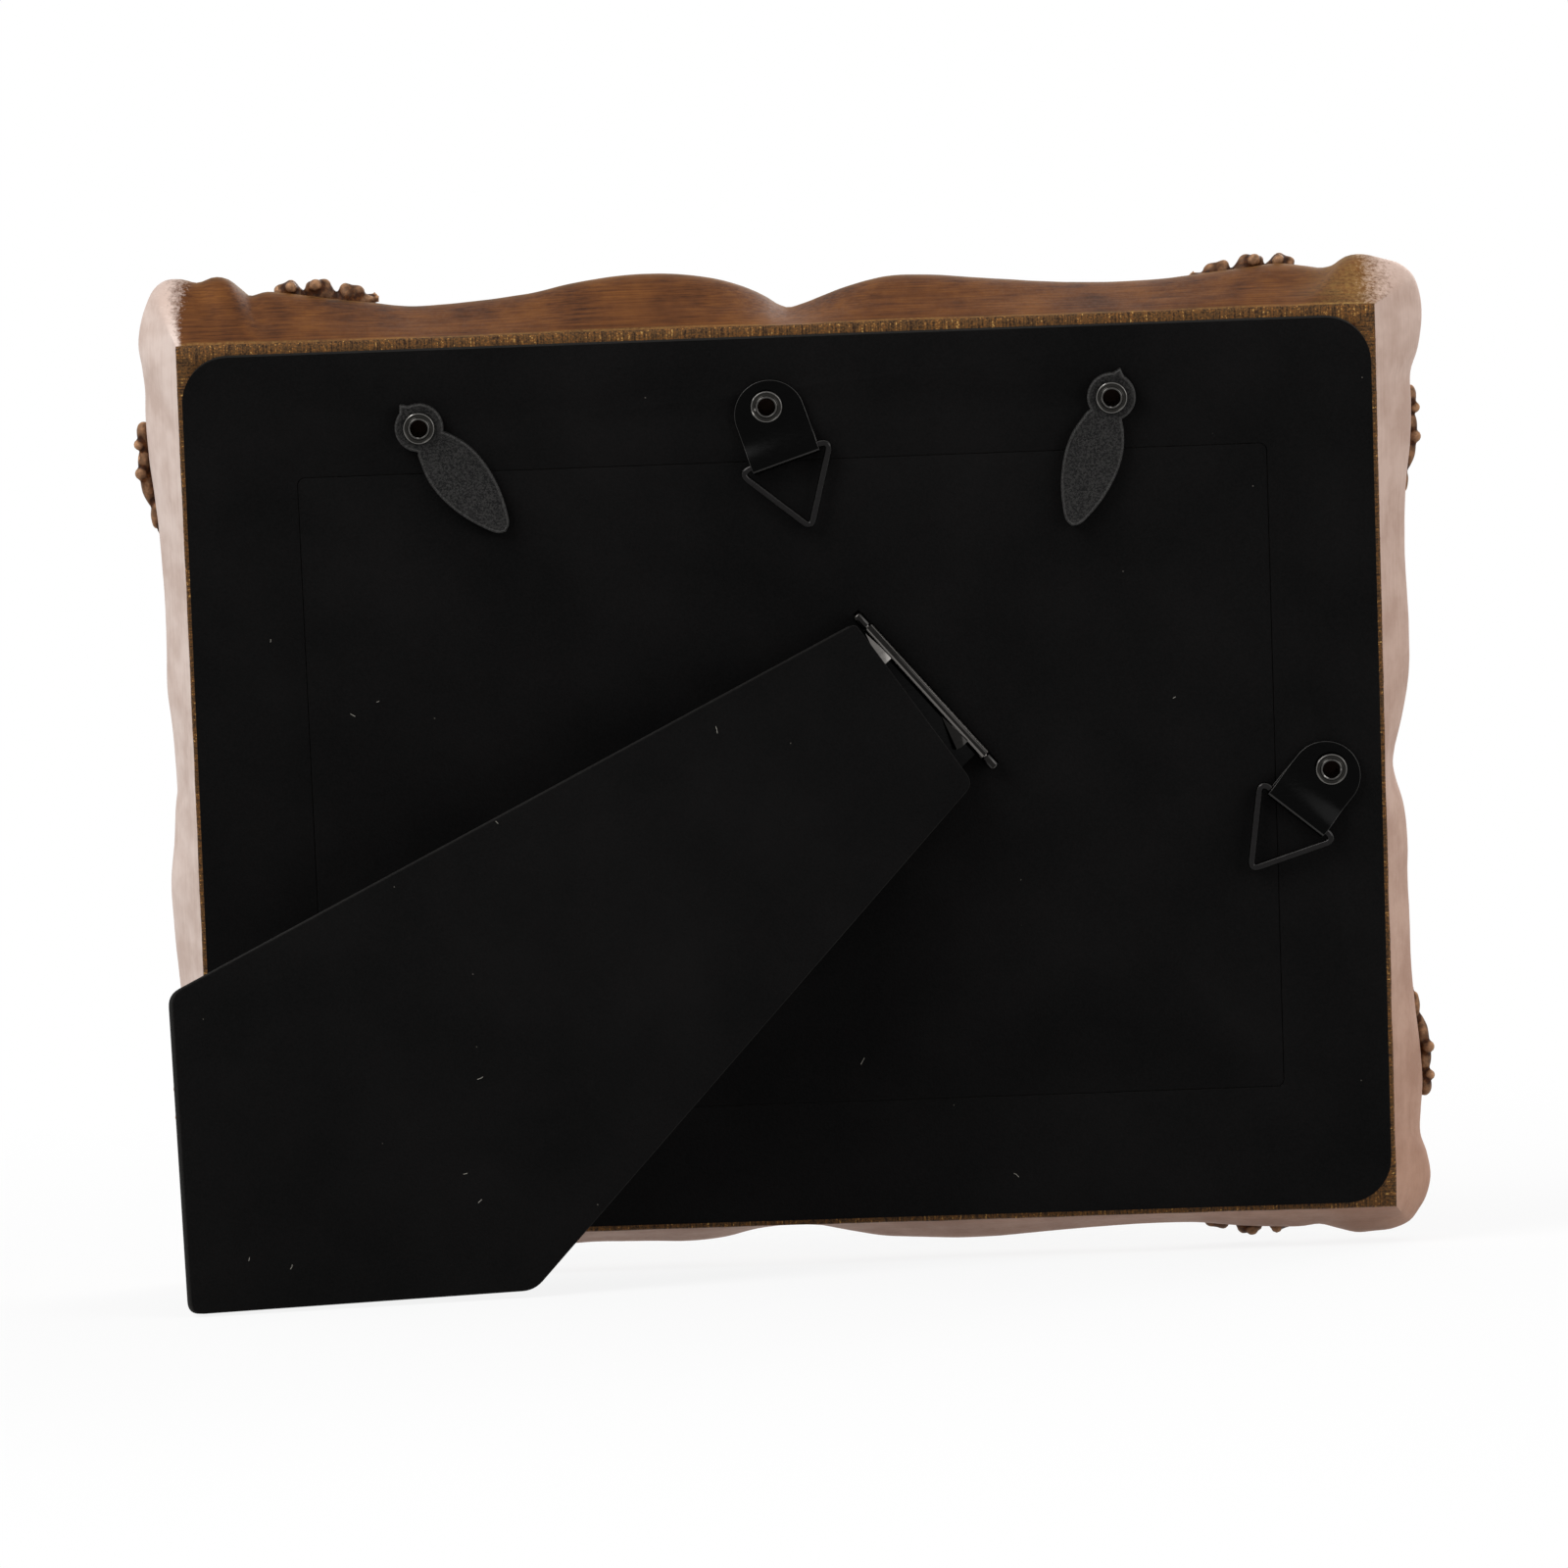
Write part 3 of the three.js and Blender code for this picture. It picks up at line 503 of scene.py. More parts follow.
def join(pieces):
    """Joins pieces into the first of them."""
    bpy.ops.object.select_all(action="DESELECT")
    for piece in pieces:
        piece.select_set(True)
    bpy.context.view_layer.objects.active = pieces[0]
    bpy.ops.object.join()
    return pieces[0]


def settle(piece, name, space, body, material, stands_for=(), angle=32, edges=None):
    """Puts a finished piece in its place: its mesh in the row's frame, on its body and in its finish."""
    piece.name = name
    piece.data.name = name
    piece.data.transform(space)
    if edges:
        piece.data.materials[0], piece.data.materials[1] = material, edges
    else:
        piece.data.materials.clear()
        piece.data.materials.append(material)
    activate(piece)
    bpy.ops.object.shade_smooth_by_angle(angle=math.radians(angle))
    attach(piece, body)
    if stands_for:
        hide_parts(*stands_for)
    return piece


def arc(centre, radius, start, turn, steps):
    """Points on an arc, from an angle on through a turn."""
    angles = [start + turn * i / steps for i in range(steps + 1)]
    return [Vector(centre) + radius * Vector((math.cos(angle), math.sin(angle))) for angle in angles]


def rounded(half, radius, steps=10):
    """A rectangle's outline with round corners, from half its size."""
    points = []
    for quarter, (sx, sy) in enumerate(CORNERS):
        centre = (sx * (half.x - radius), sy * (half.y - radius))
        points += arc(centre, radius, quarter * math.pi / 2, math.pi / 2, steps)
    return points


def bend(before, corner, after, ease, steps):
    """Points that round a corner by a curve, which starts and ends a given way off it."""
    start = corner + (before - corner).normalized() * ease
    end = corner + (after - corner).normalized() * ease
    shares = [i / steps for i in range(steps + 1)]
    return [start * (1 - t) ** 2 + corner * (2 * t * (1 - t)) + end * t * t for t in shares]


def eased(corners, eases, steps=6):
    """An outline through corners, each rounded by an ease of its own."""
    points = []
    for i, (corner, ease) in enumerate(zip(corners, eases)):
        points += bend(corners[i - 1], corner, corners[(i + 1) % len(corners)], ease, steps)
    return points


def drawn_in(corners, inset):
    """A convex outline's corners, each side moved inwards. The corners run anticlockwise."""
    moved = []
    for i, corner in enumerate(corners):
        before = (corner - corners[i - 1]).normalized()
        after = (corners[(i + 1) % len(corners)] - corner).normalized()
        inward = Vector((-before.y, before.x)) + Vector((-after.y, after.x))
        moved.append(corner + inward * (inset / (1 + before.dot(after))))
    return moved


# Finishes


def linear(code):
    """An sRGB hex value as linear red, green, blue and full alpha."""
    channels = [int(code[i:i + 2], 16) / 255 for i in (1, 3, 5)]
    return (*[c / 12.92 if c <= 0.04045 else ((c + 0.055) / 1.055) ** 2.4 for c in channels], 1.0)


def tint(name, description, code):
    """A colour that a user can change, from an sRGB hex value."""
    return FloatVectorProperty(
        name=name, description=description, subtype="COLOR", size=4, min=0, max=1, default=linear(code),
    )


def span(name, description, size, least=0.0):
    """A length that a user can change, from millimetres."""
    return FloatProperty(
        name=name, description=description, default=size * MM, min=least * MM, unit="LENGTH",
    )


def tilt(name, description, degrees):
    """An angle that a user can change, from degrees."""
    return FloatProperty(name=name, description=description, default=math.radians(degrees), subtype="ANGLE")


def wattage(name, description, watts):
    """A lamp's power, which a user can change."""
    return FloatProperty(name=name, description=description, default=watts, unit="POWER")


# Sockets of the Mix node, which has a set of them for each kind of data
MIX_FACTOR, MIX_FLOAT_A, MIX_FLOAT_B, MIX_COLOUR_A, MIX_COLOUR_B = 0, 2, 3, 6, 7
MIX_FLOAT, MIX_COLOUR = 0, 2


def add_node(tree, kind, inputs=(), stops=(), **settings):
    """Adds a node with its settings, values, links and colour stops, and returns it."""
    node = tree.nodes.new(kind)
    for name, value in settings.items():
        setattr(node, name, value)
    for name, value in dict(inputs).items():
        if isinstance(value, bpy.types.NodeSocket):
            tree.links.new(value, node.inputs[name])
        else:
            node.inputs[name].default_value = value
    if stops:
        elements = node.color_ramp.elements
        while len(elements) < len(stops):
            elements.new(1.0)
        for element, (place, colour) in zip(elements, stops):
            element.position = place
            element.color = colour
    return node


def new_material(name, **values):
    """A material with its shader's own sockets set, its node tree and its shader."""
    material = bpy.data.materials.new(name)
    material.use_nodes = True
    shader = material.node_tree.nodes["Principled BSDF"]
    for socket, value in values.items():
        shader.inputs[socket.replace("_", " ")].default_value = value
    return material, material.node_tree, shader


def millimetres(tree, scale=(1, 1, 1)):
    """Object coordinates as the board's millimetres, stretched if a scale is given."""
    coordinates = add_node(tree, "ShaderNodeTexCoord").outputs["Object"]
    upright = add_node(tree, "ShaderNodeMapping", {
        "Vector": coordinates,
        "Rotation": BOARD.to_3x3().normalized().inverted().to_euler(),
        "Scale": [1 / MM] * 3,
    })
    if scale == (1, 1, 1):
        return upright.outputs["Vector"]
    stretched = add_node(tree, "ShaderNodeMapping", {"Vector": upright.outputs["Vector"], "Scale": scale})
    return stretched.outputs["Vector"]


class CastingSettings(PropertyGroup):
    """Sizes of the casting's carving"""
    step: span("Station step", "Distance between stations along the outline", 0.85, 0.3)
    lobe_width: span("Gadroon width", "Width of each lobe carved round the front", 4.6, 1)
    lobe_depth: span("Gadroon depth", "How far the lobes stand out", 0.9)
    pearl: span("Pearl radius", "Radius of the pearls along the sight edge", 1.45)
    grain: span("Carving grain", "Finest detail kept when a garland is cast in one", 0.32, 0.15)
    ripple: span("Ripple", "Unevenness of the hand-finished casting", 0.22)


class PaintSettings(PropertyGroup):
    """Colours of the casting's paint"""
    dark: tint("Dark bronze", "Bottom of the brush marks and the recesses", "#391e0e")
    bronze: tint("Bronze", "Main colour of the antique paint", "#61391a")
    ochre: tint("Ochre", "Top of the brush marks", "#7a4c22")
    gold: tint("Gold", "Gilding rubbed on the crests", "#c9a35f")
    champagne: tint("Champagne", "Pale paint on the sides", "#e4d1c7")
    rose: tint("Rose", "Shaded part of the pale paint", "#cfb8ac")
    # The glaze also paints the shade of the bottom and of the lower right side
    tan: tint("Tan", "Glaze that dulls the pale paint towards the lower right", "#cdb09d")
    # Cream also paints the highlights on the garlands' crests
    cream_and_highlight: tint("Cream", "Worn crests of the garlands, seen from behind", "#d7a67e")
    # The raw edge's colour also paints the shade in the carving's hollows and the front's grooves
    raw_and_shade: tint("Raw edge", "Bare dark edge of the casting's back", "#2b1a10")
    rim: tint("Rim", "Thin paint that runs over the raw edge", "#5a4126")


class BackSettings(PropertyGroup):
    """Sizes and colours of the velvet back"""
    velvet: tint("Velvet", "Colour of the flocking", "#0a0a0a")
    nap: tint("Nap", "Colour of the flocking where its pile lies over", "#141313")
    worn: tint("Worn", "Colour of the flocking where it wraps an edge", "#232221")
    # Lighter velvet on the wrapped edges: abrasion and a painted highlight
    lint: tint("Lint", "Colour of the specks caught in the flocking", "#55524c")
    edge: span("Velvet edge", "Radius of the covered edges", 0.4)
    skirt: span("Velvet skirt", "Thickness of the velvet where it wraps an edge", 0.35)


class HardwareSettings(PropertyGroup):
    """Colours of the fittings"""
    plastic: tint("Plastic", "Turn buttons", "#302f2e")
    plated: tint("Black plating", "Straps and the hinge's fixed leaf", "#0e0e0e")
    # The leaf in the leg is plated darker than the other leaf: a painted shade
    dull: tint("Dull plating", "The hinge's leaf in the leg", "#070707")
    # Lighter plastic on the buttons' edges: abrasion and a painted highlight
    scuffed: tint("Scuffed plastic", "Edges of the turn buttons", "#454443")
    wire: tint("Black wire", "Rings", "#252424")
    # The knuckle and ears are plated lighter than the leaves, a painted highlight, and smoother
    lit_knuckle: tint("Rubbed plating", "The hinge's knuckle, which its turning has polished", "#232221")
    # Lighter plating on edges and chosen faces: abrasion and painted highlights
    worn: tint("Worn plating", "Edges where the plating has rubbed thin", "#3c3b3a")
    # Bare steel for the pin, and painted highlights on the knuckle
    bared: tint("Bared steel", "Places where the plating has rubbed through", "#6f6c69")
    gunmetal: tint("Gunmetal", "Eyelets", "#2b2a28")


class StudioSettings(PropertyGroup):
    """The camera's place, seen from the board, and the lamps"""
    distance: span("Camera distance", "From the board's middle", 1431.7)
    elevation: tilt("Elevation", "Above the board's normal", 10.71)
    turn: tilt("Turn", "To the side of the board's normal", -0.52)
    roll: tilt("Roll", "About the view", 2.08)
    lens: FloatProperty(name="Lens", description="Focal length in millimetres", default=202.5, unit="CAMERA")
    key: wattage("Key lamp", "Power of the lamp above and to the left", 16)
    fill: wattage("Fill lamp", "Power of the lamp at the right", 8)
    front: wattage("Front lamp", "Power of the lamp on the picture's side", 12)
    ambient: FloatProperty(name="Ambient", description="Strength of the light from all round", default=0.48)


def scaled(tree, value, low, high, to_low=0.0, to_high=1.0):
    """A value stretched from one range to another, and held inside it."""
    return add_node(tree, "ShaderNodeMapRange", {
        "Value": value, "From Min": low, "From Max": high, "To Min": to_low, "To Max": to_high,
    }).outputs["Result"]


def reckon(tree, operation, first, second, third=0.0):
    """The result of a sum on two or three values."""
    sum_node = add_node(tree, "ShaderNodeMath", {0: first, 1: second, 2: third}, operation=operation)
    return sum_node.outputs["Value"]


def blend(tree, factor, first, second, how="MIX"):
    """Two colours blended by a factor."""
    return add_node(tree, "ShaderNodeMix", {
        MIX_FACTOR: factor, MIX_COLOUR_A: first, MIX_COLOUR_B: second,
    }, data_type="RGBA", blend_type=how).outputs[MIX_COLOUR]


def ramp(tree, value, stops):
    """A colour looked up by a value."""
    return add_node(tree, "ShaderNodeValToRGB", {"Fac": value}, stops=stops).outputs["Color"]


def noise(tree, scale, detail=3.0, roughness=0.5, stretch=(1, 1, 1)):
    """Noise with so many features to a millimetre, stretched if that is asked for."""
    return add_node(tree, "ShaderNodeTexNoise", {
        "Vector": millimetres(tree, stretch), "Scale": scale, "Detail": detail, "Roughness": roughness,
    }).outputs["Fac"]


def attribute(tree, name):
    """A number that is stored on the vertices."""
    return add_node(tree, "ShaderNodeAttribute", attribute_name=name).outputs["Fac"]


def convexity(tree, low, high):
    """How far a place is a convex edge."""
    return scaled(tree, add_node(tree, "ShaderNodeNewGeometry").outputs["Pointiness"], low, high)


def roughen(tree, shader, height, strength, depth):
    """Gives a shader a bump of some depth in millimetres."""
    bump = add_node(tree, "ShaderNodeBump", {"Height": height, "Strength": strength, "Distance": depth * MM})
    tree.links.new(bump.outputs["Normal"], shader.inputs["Normal"])


def dress(tree, shader, colour, roughness=None):
    """Gives a shader its colour, and its roughness where that varies."""
    tree.links.new(colour, shader.inputs["Base Color"])
    if roughness is not None:
        tree.links.new(roughness, shader.inputs["Roughness"])


def seen_plainly(tree):
    """Whether a place is seen by the camera, in a gloss or through glass, and doesn't just light others."""
    rays = add_node(tree, "ShaderNodeLightPath").outputs
    seen = rays["Is Camera Ray"]
    for kind in ("Is Glossy Ray", "Is Transmission Ray"):
        seen = reckon(tree, "MAXIMUM", seen, rays[kind])
    return seen


def painted_resin(name):
    """Cast polyresin under antique bronze acrylic, brushed along each side, with pale champagne on the
    sides: a satin, slightly metallic skin with long brush marks and a bare, dark rim."""
    paint = bpy.context.scene.frame_paint
    material, tree, shader = new_material(name, Metallic=0.2, IOR=1.5, Specular_IOR_Level=0.14)
    blotches = noise(tree, 0.11, 3.0, 0.6)
    grit = noise(tree, 1.6, 4.0, 0.7)
    # Brush marks about 11 mm long and 0.3 mm wide
    lengthways = noise(tree, 1.0, 5.0, 0.62, (0.09, 3.6, 1.8))
    upright = noise(tree, 1.0, 5.0, 0.62, (3.6, 0.09, 1.8))
    along = attribute(tree, "long_side")
    strokes, crossing = (
        add_node(tree, "ShaderNodeMix", {
            MIX_FACTOR: along, MIX_FLOAT_A: first, MIX_FLOAT_B: second,
        }).outputs[MIX_FLOAT]
        for first, second in ((upright, lengthways), (lengthways, upright))
    )
    marks = reckon(tree, "ADD", strokes, blotches)
    bronze = ramp(tree, scaled(tree, marks, 0.66, 1.34), [
        (0.05, paint.dark), (0.5, paint.bronze), (1.0, paint.ochre),
    ])
    # Gold on the relief; round the upper right mitre and along the back's edge it also paints a highlight
    gilding = reckon(tree, "MULTIPLY", attribute(tree, "rub"), scaled(tree, grit, 0.36, 0.66, 0.1, 0.85))
    colour = blend(tree, gilding, bronze, paint.gold)
    # Bare on the hidden back, and painted shade in the front's grooves
    colour = blend(tree, attribute(tree, "bare_and_shade"), colour, paint.raw_and_shade)

    # The pale paint ends raggedly, and so does the bare rim
    uneven = scaled(tree, grit, 0, 1, -0.5, 0.5)
    mottled = reckon(tree, "MULTIPLY_ADD", strokes, 0.35, blotches)
    pale = ramp(tree, scaled(tree, mottled, 0.45, 0.9), [(0.2, paint.rose), (0.8, paint.champagne)])
    # Painted shade: the glaze darkens the pale paint on the bottom and towards the lower right
    pale = blend(tree, attribute(tree, "tan_and_shade"), pale, paint.tan, "MULTIPLY")
    sides = scaled(tree, reckon(tree, "ADD", attribute(tree, "pale"), uneven), 0.28, 0.72)
    colour = blend(tree, sides, colour, pale)
    specks = reckon(tree, "MULTIPLY", noise(tree, 3.0, 4.0, 0.6), 0.5)
    flecks = reckon(tree, "MULTIPLY_ADD", crossing, 0.5, specks)
    bare = ramp(tree, scaled(tree, flecks, 0.36, 0.63), [
        (0.15, paint.raw_and_shade), (0.5, paint.rim), (0.85, paint.ochre), (1.0, paint.gold),
    ])
    rim = scaled(tree, reckon(tree, "ADD", attribute(tree, "rim"), uneven), 0.38, 0.62)
    colour = blend(tree, rim, colour, bare)
    dress(tree, shader, colour, scaled(tree, grit, 0.3, 0.7, 0.48, 0.68))
    roughen(tree, shader, strokes, 0.2, 0.08)
    return material


def painted_carving(name):
    """The same resin where it is carved: dark bronze, darkest in the folds as a painted shade, pale and
    creamy on the crests as abrasion and a painted highlight, and gilded on what faces the picture's side,
    where the gold was rubbed on."""
    paint = bpy.context.scene.frame_paint
    material, tree, shader = new_material(name, Metallic=0.2, IOR=1.5, Specular_IOR_Level=0.12)
    grit = noise(tree, 1.3, 4.0, 0.7)
    crest = convexity(tree, 0.505, 0.56)
    facing = add_node(tree, "ShaderNodeVectorMath", {
        0: add_node(tree, "ShaderNodeTexCoord").outputs["Normal"], 1: -BOARD.to_3x3().col[2].normalized(),
    }, operation="DOT_PRODUCT").outputs["Value"]
    bronze = ramp(tree, scaled(tree, grit, 0.32, 0.68), [
        (0.0, paint.raw_and_shade), (0.5, paint.dark), (1.0, paint.bronze),
    ])
    # Painted highlight and abrasion: the crests go cream
    crest_wear_and_light = reckon(tree, "MULTIPLY", crest, scaled(tree, grit, 0.3, 0.7, 0.4, 0.9))
    worn = blend(tree, crest_wear_and_light, bronze, paint.cream_and_highlight)
    gilding = reckon(tree, "MULTIPLY", crest, scaled(tree, facing, -0.2, 0.5))
    gilding = reckon(tree, "MULTIPLY", gilding, scaled(tree, grit, 0.36, 0.62, 0.1, 0.95))
    gilded = blend(tree, gilding, worn, paint.gold)
    # Painted shade: the hollows take the raw edge's dark colour
    colour = blend(tree, convexity(tree, 0.5, 0.44), gilded, paint.raw_and_shade)
    dress(tree, shader, colour, scaled(tree, grit, 0.3, 0.7, 0.4, 0.62))
    roughen(tree, shader, grit, 0.35, 0.12)
    return material


def flocked_velvet(name, low, high):
    """Flocked velvet paper: short black nylon pile that swallows light face on, with specks of lint caught in
    it."""
    back = bpy.context.scene.frame_back
    material, tree, shader = new_material(
        name, Metallic=0.0, Roughness=0.95, Specular_IOR_Level=0.05,
        Sheen_Weight=0.1, Sheen_Roughness=0.4, Sheen_Tint=linear("#8e8c86"),
    )
    # The pile is 0.02 mm thick, and is drawn as tufts of 0.3 mm
    tufts = noise(tree, 3.2)
    lie = noise(tree, 0.05, 4.0)
    shade = scaled(tree, reckon(tree, "ADD", tufts, lie), 0.7, 1.35)
    pile = ramp(tree, shade, [(0.0, low), (1.0, high)])
    # Lint: one speck of 0.1 mm in about every tenth cell of 3 mm
    cells = add_node(tree, "ShaderNodeTexVoronoi", {"Vector": millimetres(tree), "Scale": 0.33})
    chosen = add_node(tree, "ShaderNodeSeparateColor", {"Color": cells.outputs["Color"]}).outputs["Red"]
    lint = reckon(
        tree, "MULTIPLY", reckon(tree, "LESS_THAN", cells.outputs["Distance"], 0.035),
        reckon(tree, "GREATER_THAN", chosen, 0.9),
    )
    dress(tree, shader, blend(tree, lint, pile, back.lint))
    roughen(tree, shader, tufts, 0.5, 0.08)
    return material


def pressed_board(name, light, dark, scale):
    """Hardboard or grey board: pressed fibres in short tangled flecks, quite matt."""
    material, tree, shader = new_material(name, Roughness=0.88, Specular_IOR_Level=0.25)
    fibres = noise(tree, scale, 6.0, 0.75)
    dress(tree, shader, ramp(tree, fibres, [(0.3, linear(dark)), (0.7, linear(light))]))
    roughen(tree, shader, fibres, 0.4, 0.06)
    return material


def plated_steel(name, colour, roughness, crest_sheen_and_abrasion=0.0):
    """Sheet steel or wire under thin electroplating: a smooth metal skin with fine handling marks, lighter on
    its crests if asked for, partly abrasion and partly a painted highlight."""
    material, tree, shader = new_material(name, Metallic=1.0)
    marks = noise(tree, 1.0, 5.0, 0.7, (0.7, 2.4, 1.1))
    skin = blend(tree, marks, [c * 0.6 for c in colour[:3]] + [1.0], colour)
    if crest_sheen_and_abrasion:
        crest_lightening = reckon(tree, "MULTIPLY", convexity(tree, 0.515, 0.6), crest_sheen_and_abrasion)
        skin = blend(tree, crest_lightening, skin, linear("#a5a29e"))
    dress(tree, shader, skin, scaled(tree, marks, 0.35, 0.65, roughness * 0.75, roughness * 1.25))
    roughen(tree, shader, marks, 0.2, 0.03)
    return material


def moulded_plastic(name, low, high):
    """Injection-moulded black plastic from a worn tool: a speckled satin."""
    material, tree, shader = new_material(name, Metallic=0.0, IOR=1.5, Specular_IOR_Level=0.12)
    # Speckles of 0.3 mm
    speckle = noise(tree, 3.3, 4.0, 0.75)
    skin = blend(tree, scaled(tree, speckle, 0.44, 0.58), low, high)
    dress(tree, shader, skin, scaled(tree, speckle, 0.3, 0.7, 0.35, 0.7))
    roughen(tree, shader, speckle, 0.7, 0.14)
    return material


def plain_paper(name, light, dark):
    """Uncoated paper: matt, with faint felted fibres."""
    material, tree, shader = new_material(name, Roughness=0.9, Specular_IOR_Level=0.2)
    fibres = noise(tree, 0.9, 7.0, 0.8)
    dress(tree, shader, blend(tree, fibres, linear(dark), linear(light)))
    roughen(tree, shader, fibres, 0.2, 0.03)
    return material


def float_glass(name):
    """Float glass of 1.8 mm: clear, very smooth, with a breath of dust."""
    material, tree, shader = new_material(
        name, Transmission_Weight=1.0, IOR=1.52, Base_Color=linear("#f7fbfa"),
    )
    tree.links.new(scaled(tree, noise(tree, 0.2, 5.0), 0.4, 0.8, 0.0, 0.03), shader.inputs["Roughness"])
    return material


def lint_fibre(name):
    """Stray grey cotton and nylon fibres."""
    material, tree, shader = new_material(name, Roughness=0.8)
    dress(tree, shader, blend(tree, noise(tree, 4.0), linear("#55524b"), linear("#a8a49a")))
    return material


def finish(name):
    """A finish by its name, made when it is first asked for."""
    if name in bpy.data.materials:
        return bpy.data.materials[name]
    back, hardware = bpy.context.scene.frame_back, bpy.context.scene.frame_hardware
    maker, *values = {
        "painted_resin": (painted_resin,),
        "painted_carving": (painted_carving,),
        "flocked_velvet": (flocked_velvet, back.velvet, back.nap),
        "rubbed_velvet": (flocked_velvet, back.nap, back.worn),
        "dark_hardboard": (pressed_board, "#3d2f24", "#1f1712", 0.9),
        "grey_board": (pressed_board, "#9a9285", "#7b7468", 0.7),
        "black_plating": (plated_steel, hardware.plated, 0.24),
        "dull_plating": (plated_steel, hardware.dull, 0.3),
        "black_wire": (plated_steel, hardware.wire, 0.1),
        "bared_steel": (plated_steel, hardware.bared, 0.3),
        "rubbed_plating": (plated_steel, hardware.lit_knuckle, 0.13),
        "worn_plating": (plated_steel, hardware.worn, 0.35),
        # The eyelets' crests go lighter: abrasion and a painted highlight
        "gunmetal": (plated_steel, hardware.gunmetal, 0.24, 0.8),
        "moulded_plastic": (moulded_plastic, linear("#060606"), hardware.plastic),
        "scuffed_plastic": (moulded_plastic, hardware.plastic, hardware.scuffed),
        "insert_paper": (plain_paper, "#ece8df", "#dcd6ca"),
        "lining_paper": (plain_paper, "#201f1f", "#161515"),
        "float_glass": (float_glass,),
        "lint_fibre": (lint_fibre,),
    }[name]
    return maker(name, *values)


RING_SAMPLES = 3


# The casting's section in control rings: half its width and height, its share of the scallops, its
# level, then how much of it is raw rim, painted side, gilded crest, bare back and, in the front's grooves,
# painted shade, and carved lobes
def casting_rings():
    """The rings: the rebate's mouth and the back, which stay sharp, then the curved side and front."""
    def ring(half, wave, level, rim=0, side=0, rub=0, bare_and_shade=0, lobes=0):
        return Vector((half.x, half.y, wave, level, rim, side, rub, bare_and_shade, lobes))

    def from_back(inward):
        return grown(HALF_BACK, -inward)

    def from_sight(by):
        return grown(HALF_SIGHT, by)

    back = [
        ring(HALF_REBATE, 0, REBATE_FLOOR, bare_and_shade=1),
        ring(HALF_REBATE, 0, 0, bare_and_shade=1),
        ring(from_back(3.5), 0, 0, bare_and_shade=1),
        ring(from_back(2.5), 0, 0, rim=1),
        ring(from_back(0.25), 0, 0, rim=1),
    ]
    run = [
        ring(HALF_BACK, 0, -0.25, rim=1, side=0.2),
        # Gold along the back's edge, which also paints the thin highlight there
        ring(HALF_BACK, 0.04, -0.6, rim=0.1, side=1, rub=0.35),
        ring(HALF_BACK, 0.08, -1.0, side=1),
        ring(HALF_BACK, 0.26, -2.9, side=1),
        ring(HALF_BACK, 0.5, -0.45 * SIDE_DEPTH, side=1),
        ring(HALF_BACK, 0.92, -0.82 * SIDE_DEPTH, side=1),
        ring(HALF_BACK, 1, -SIDE_DEPTH, side=1, rub=0.25),
        ring(from_back(0.84), 0.98, -14.75, side=0.85, rub=0.7),
        ring(from_back(3.15), 0.92, -17, side=0.35, rub=1),
        ring(from_back(5.4), 0.84, -16.6, rub=0.6),
        ring(from_back(6.5), 0.79, -15.6, bare_and_shade=0.9),
        ring(from_back(7.3), 0.72, -15.9, bare_and_shade=0.4, lobes=0.4),
        ring(from_back(9.3), 0.55, -15.5, rub=0.8, lobes=1),
        ring(from_back(11.3), 0.35, -14.0, rub=0.4, lobes=0.7),
        ring(from_back(12.4), 0.22, -12.9, bare_and_shade=0.8),
        ring(from_sight(8.4), 0.1, -12.1, bare_and_shade=0.2),
        ring(from_sight(6.6), 0, -12.2, rub=0.5),
        ring(from_sight(5.6), 0, -12.9, bare_and_shade=0.9),
        ring(from_sight(3.6), 0, -13.3, bare_and_shade=1),
        ring(from_sight(1.8), 0, -12.9, bare_and_shade=0.9),
        ring(from_sight(1.0), 0, -13.2, rub=0.8),
        ring(from_sight(0.3), 0, -12.8, rub=0.6),
        ring(from_sight(0), 0, -12.0, rub=0.2),
    ]
    return [*back, *smooth(run, RING_SAMPLES), ring(from_sight(0), 0, REBATE_FLOOR, bare_and_shade=0.6)]


# The champagne ends in a slanting line at the upper left mitre, which bends and softens as it rises, and
# fades out by the upper right mitre. Gold is rubbed on round that mitre, in a patch that also paints a
# highlight.
TOP_PAINT_SLANT = -0.34
TOP_PAINT_BEND = 0.03
PAINT_EDGE = 1.2
PAINT_SPREAD = 0.7
FADE_LENGTH = 12
FADE_MIDDLE = 0.8
GOLD_MIDDLE = HALF_BACK + Vector((0, 2))
GOLD_RADIUS = 8
GOLD_STRENGTH = 0.5

# How full the carved lobes are, how much of the gilding their grooves lose, and the size of a ripple
LOBE_FULLNESS = 0.6
GROOVE_LOSS = 0.6
RIPPLE_SIZE = 9


def clamped(value):
    """A value held between nought and one."""
    return max(0.0, min(1.0, value))


def paleness(x, y, long_side):
    """How champagne the side is at a place: the left, right and bottom sides, and the ends of the top."""
    if not long_side or y < 0:
        return 1.0
    rise = max(0.0, y - HALF_BACK.y)
    left = TOP_PAINT_SLANT * rise + TOP_PAINT_BEND * rise ** 2 - (x + HALF_BACK.x)
    right = x - HALF_BACK.x - FADE_MIDDLE
    return max(clamped(left / (PAINT_EDGE + PAINT_SPREAD * rise) + 0.5), clamped(right / FADE_LENGTH + 0.5))


def tan_and_shade_share(x, y, long_side):
    """How much tan glaze the champagne has: most at the lower right. It also paints the shade of the bottom
    and of the right side.
    """
    across, up = x / HALF_BACK.x, y / HALF_BACK.y
    if long_side and y < 0:
        return clamped(0.85 + 0.15 * across)
    return clamped(0.7 - 0.3 * up) if x > 0 else 0.0


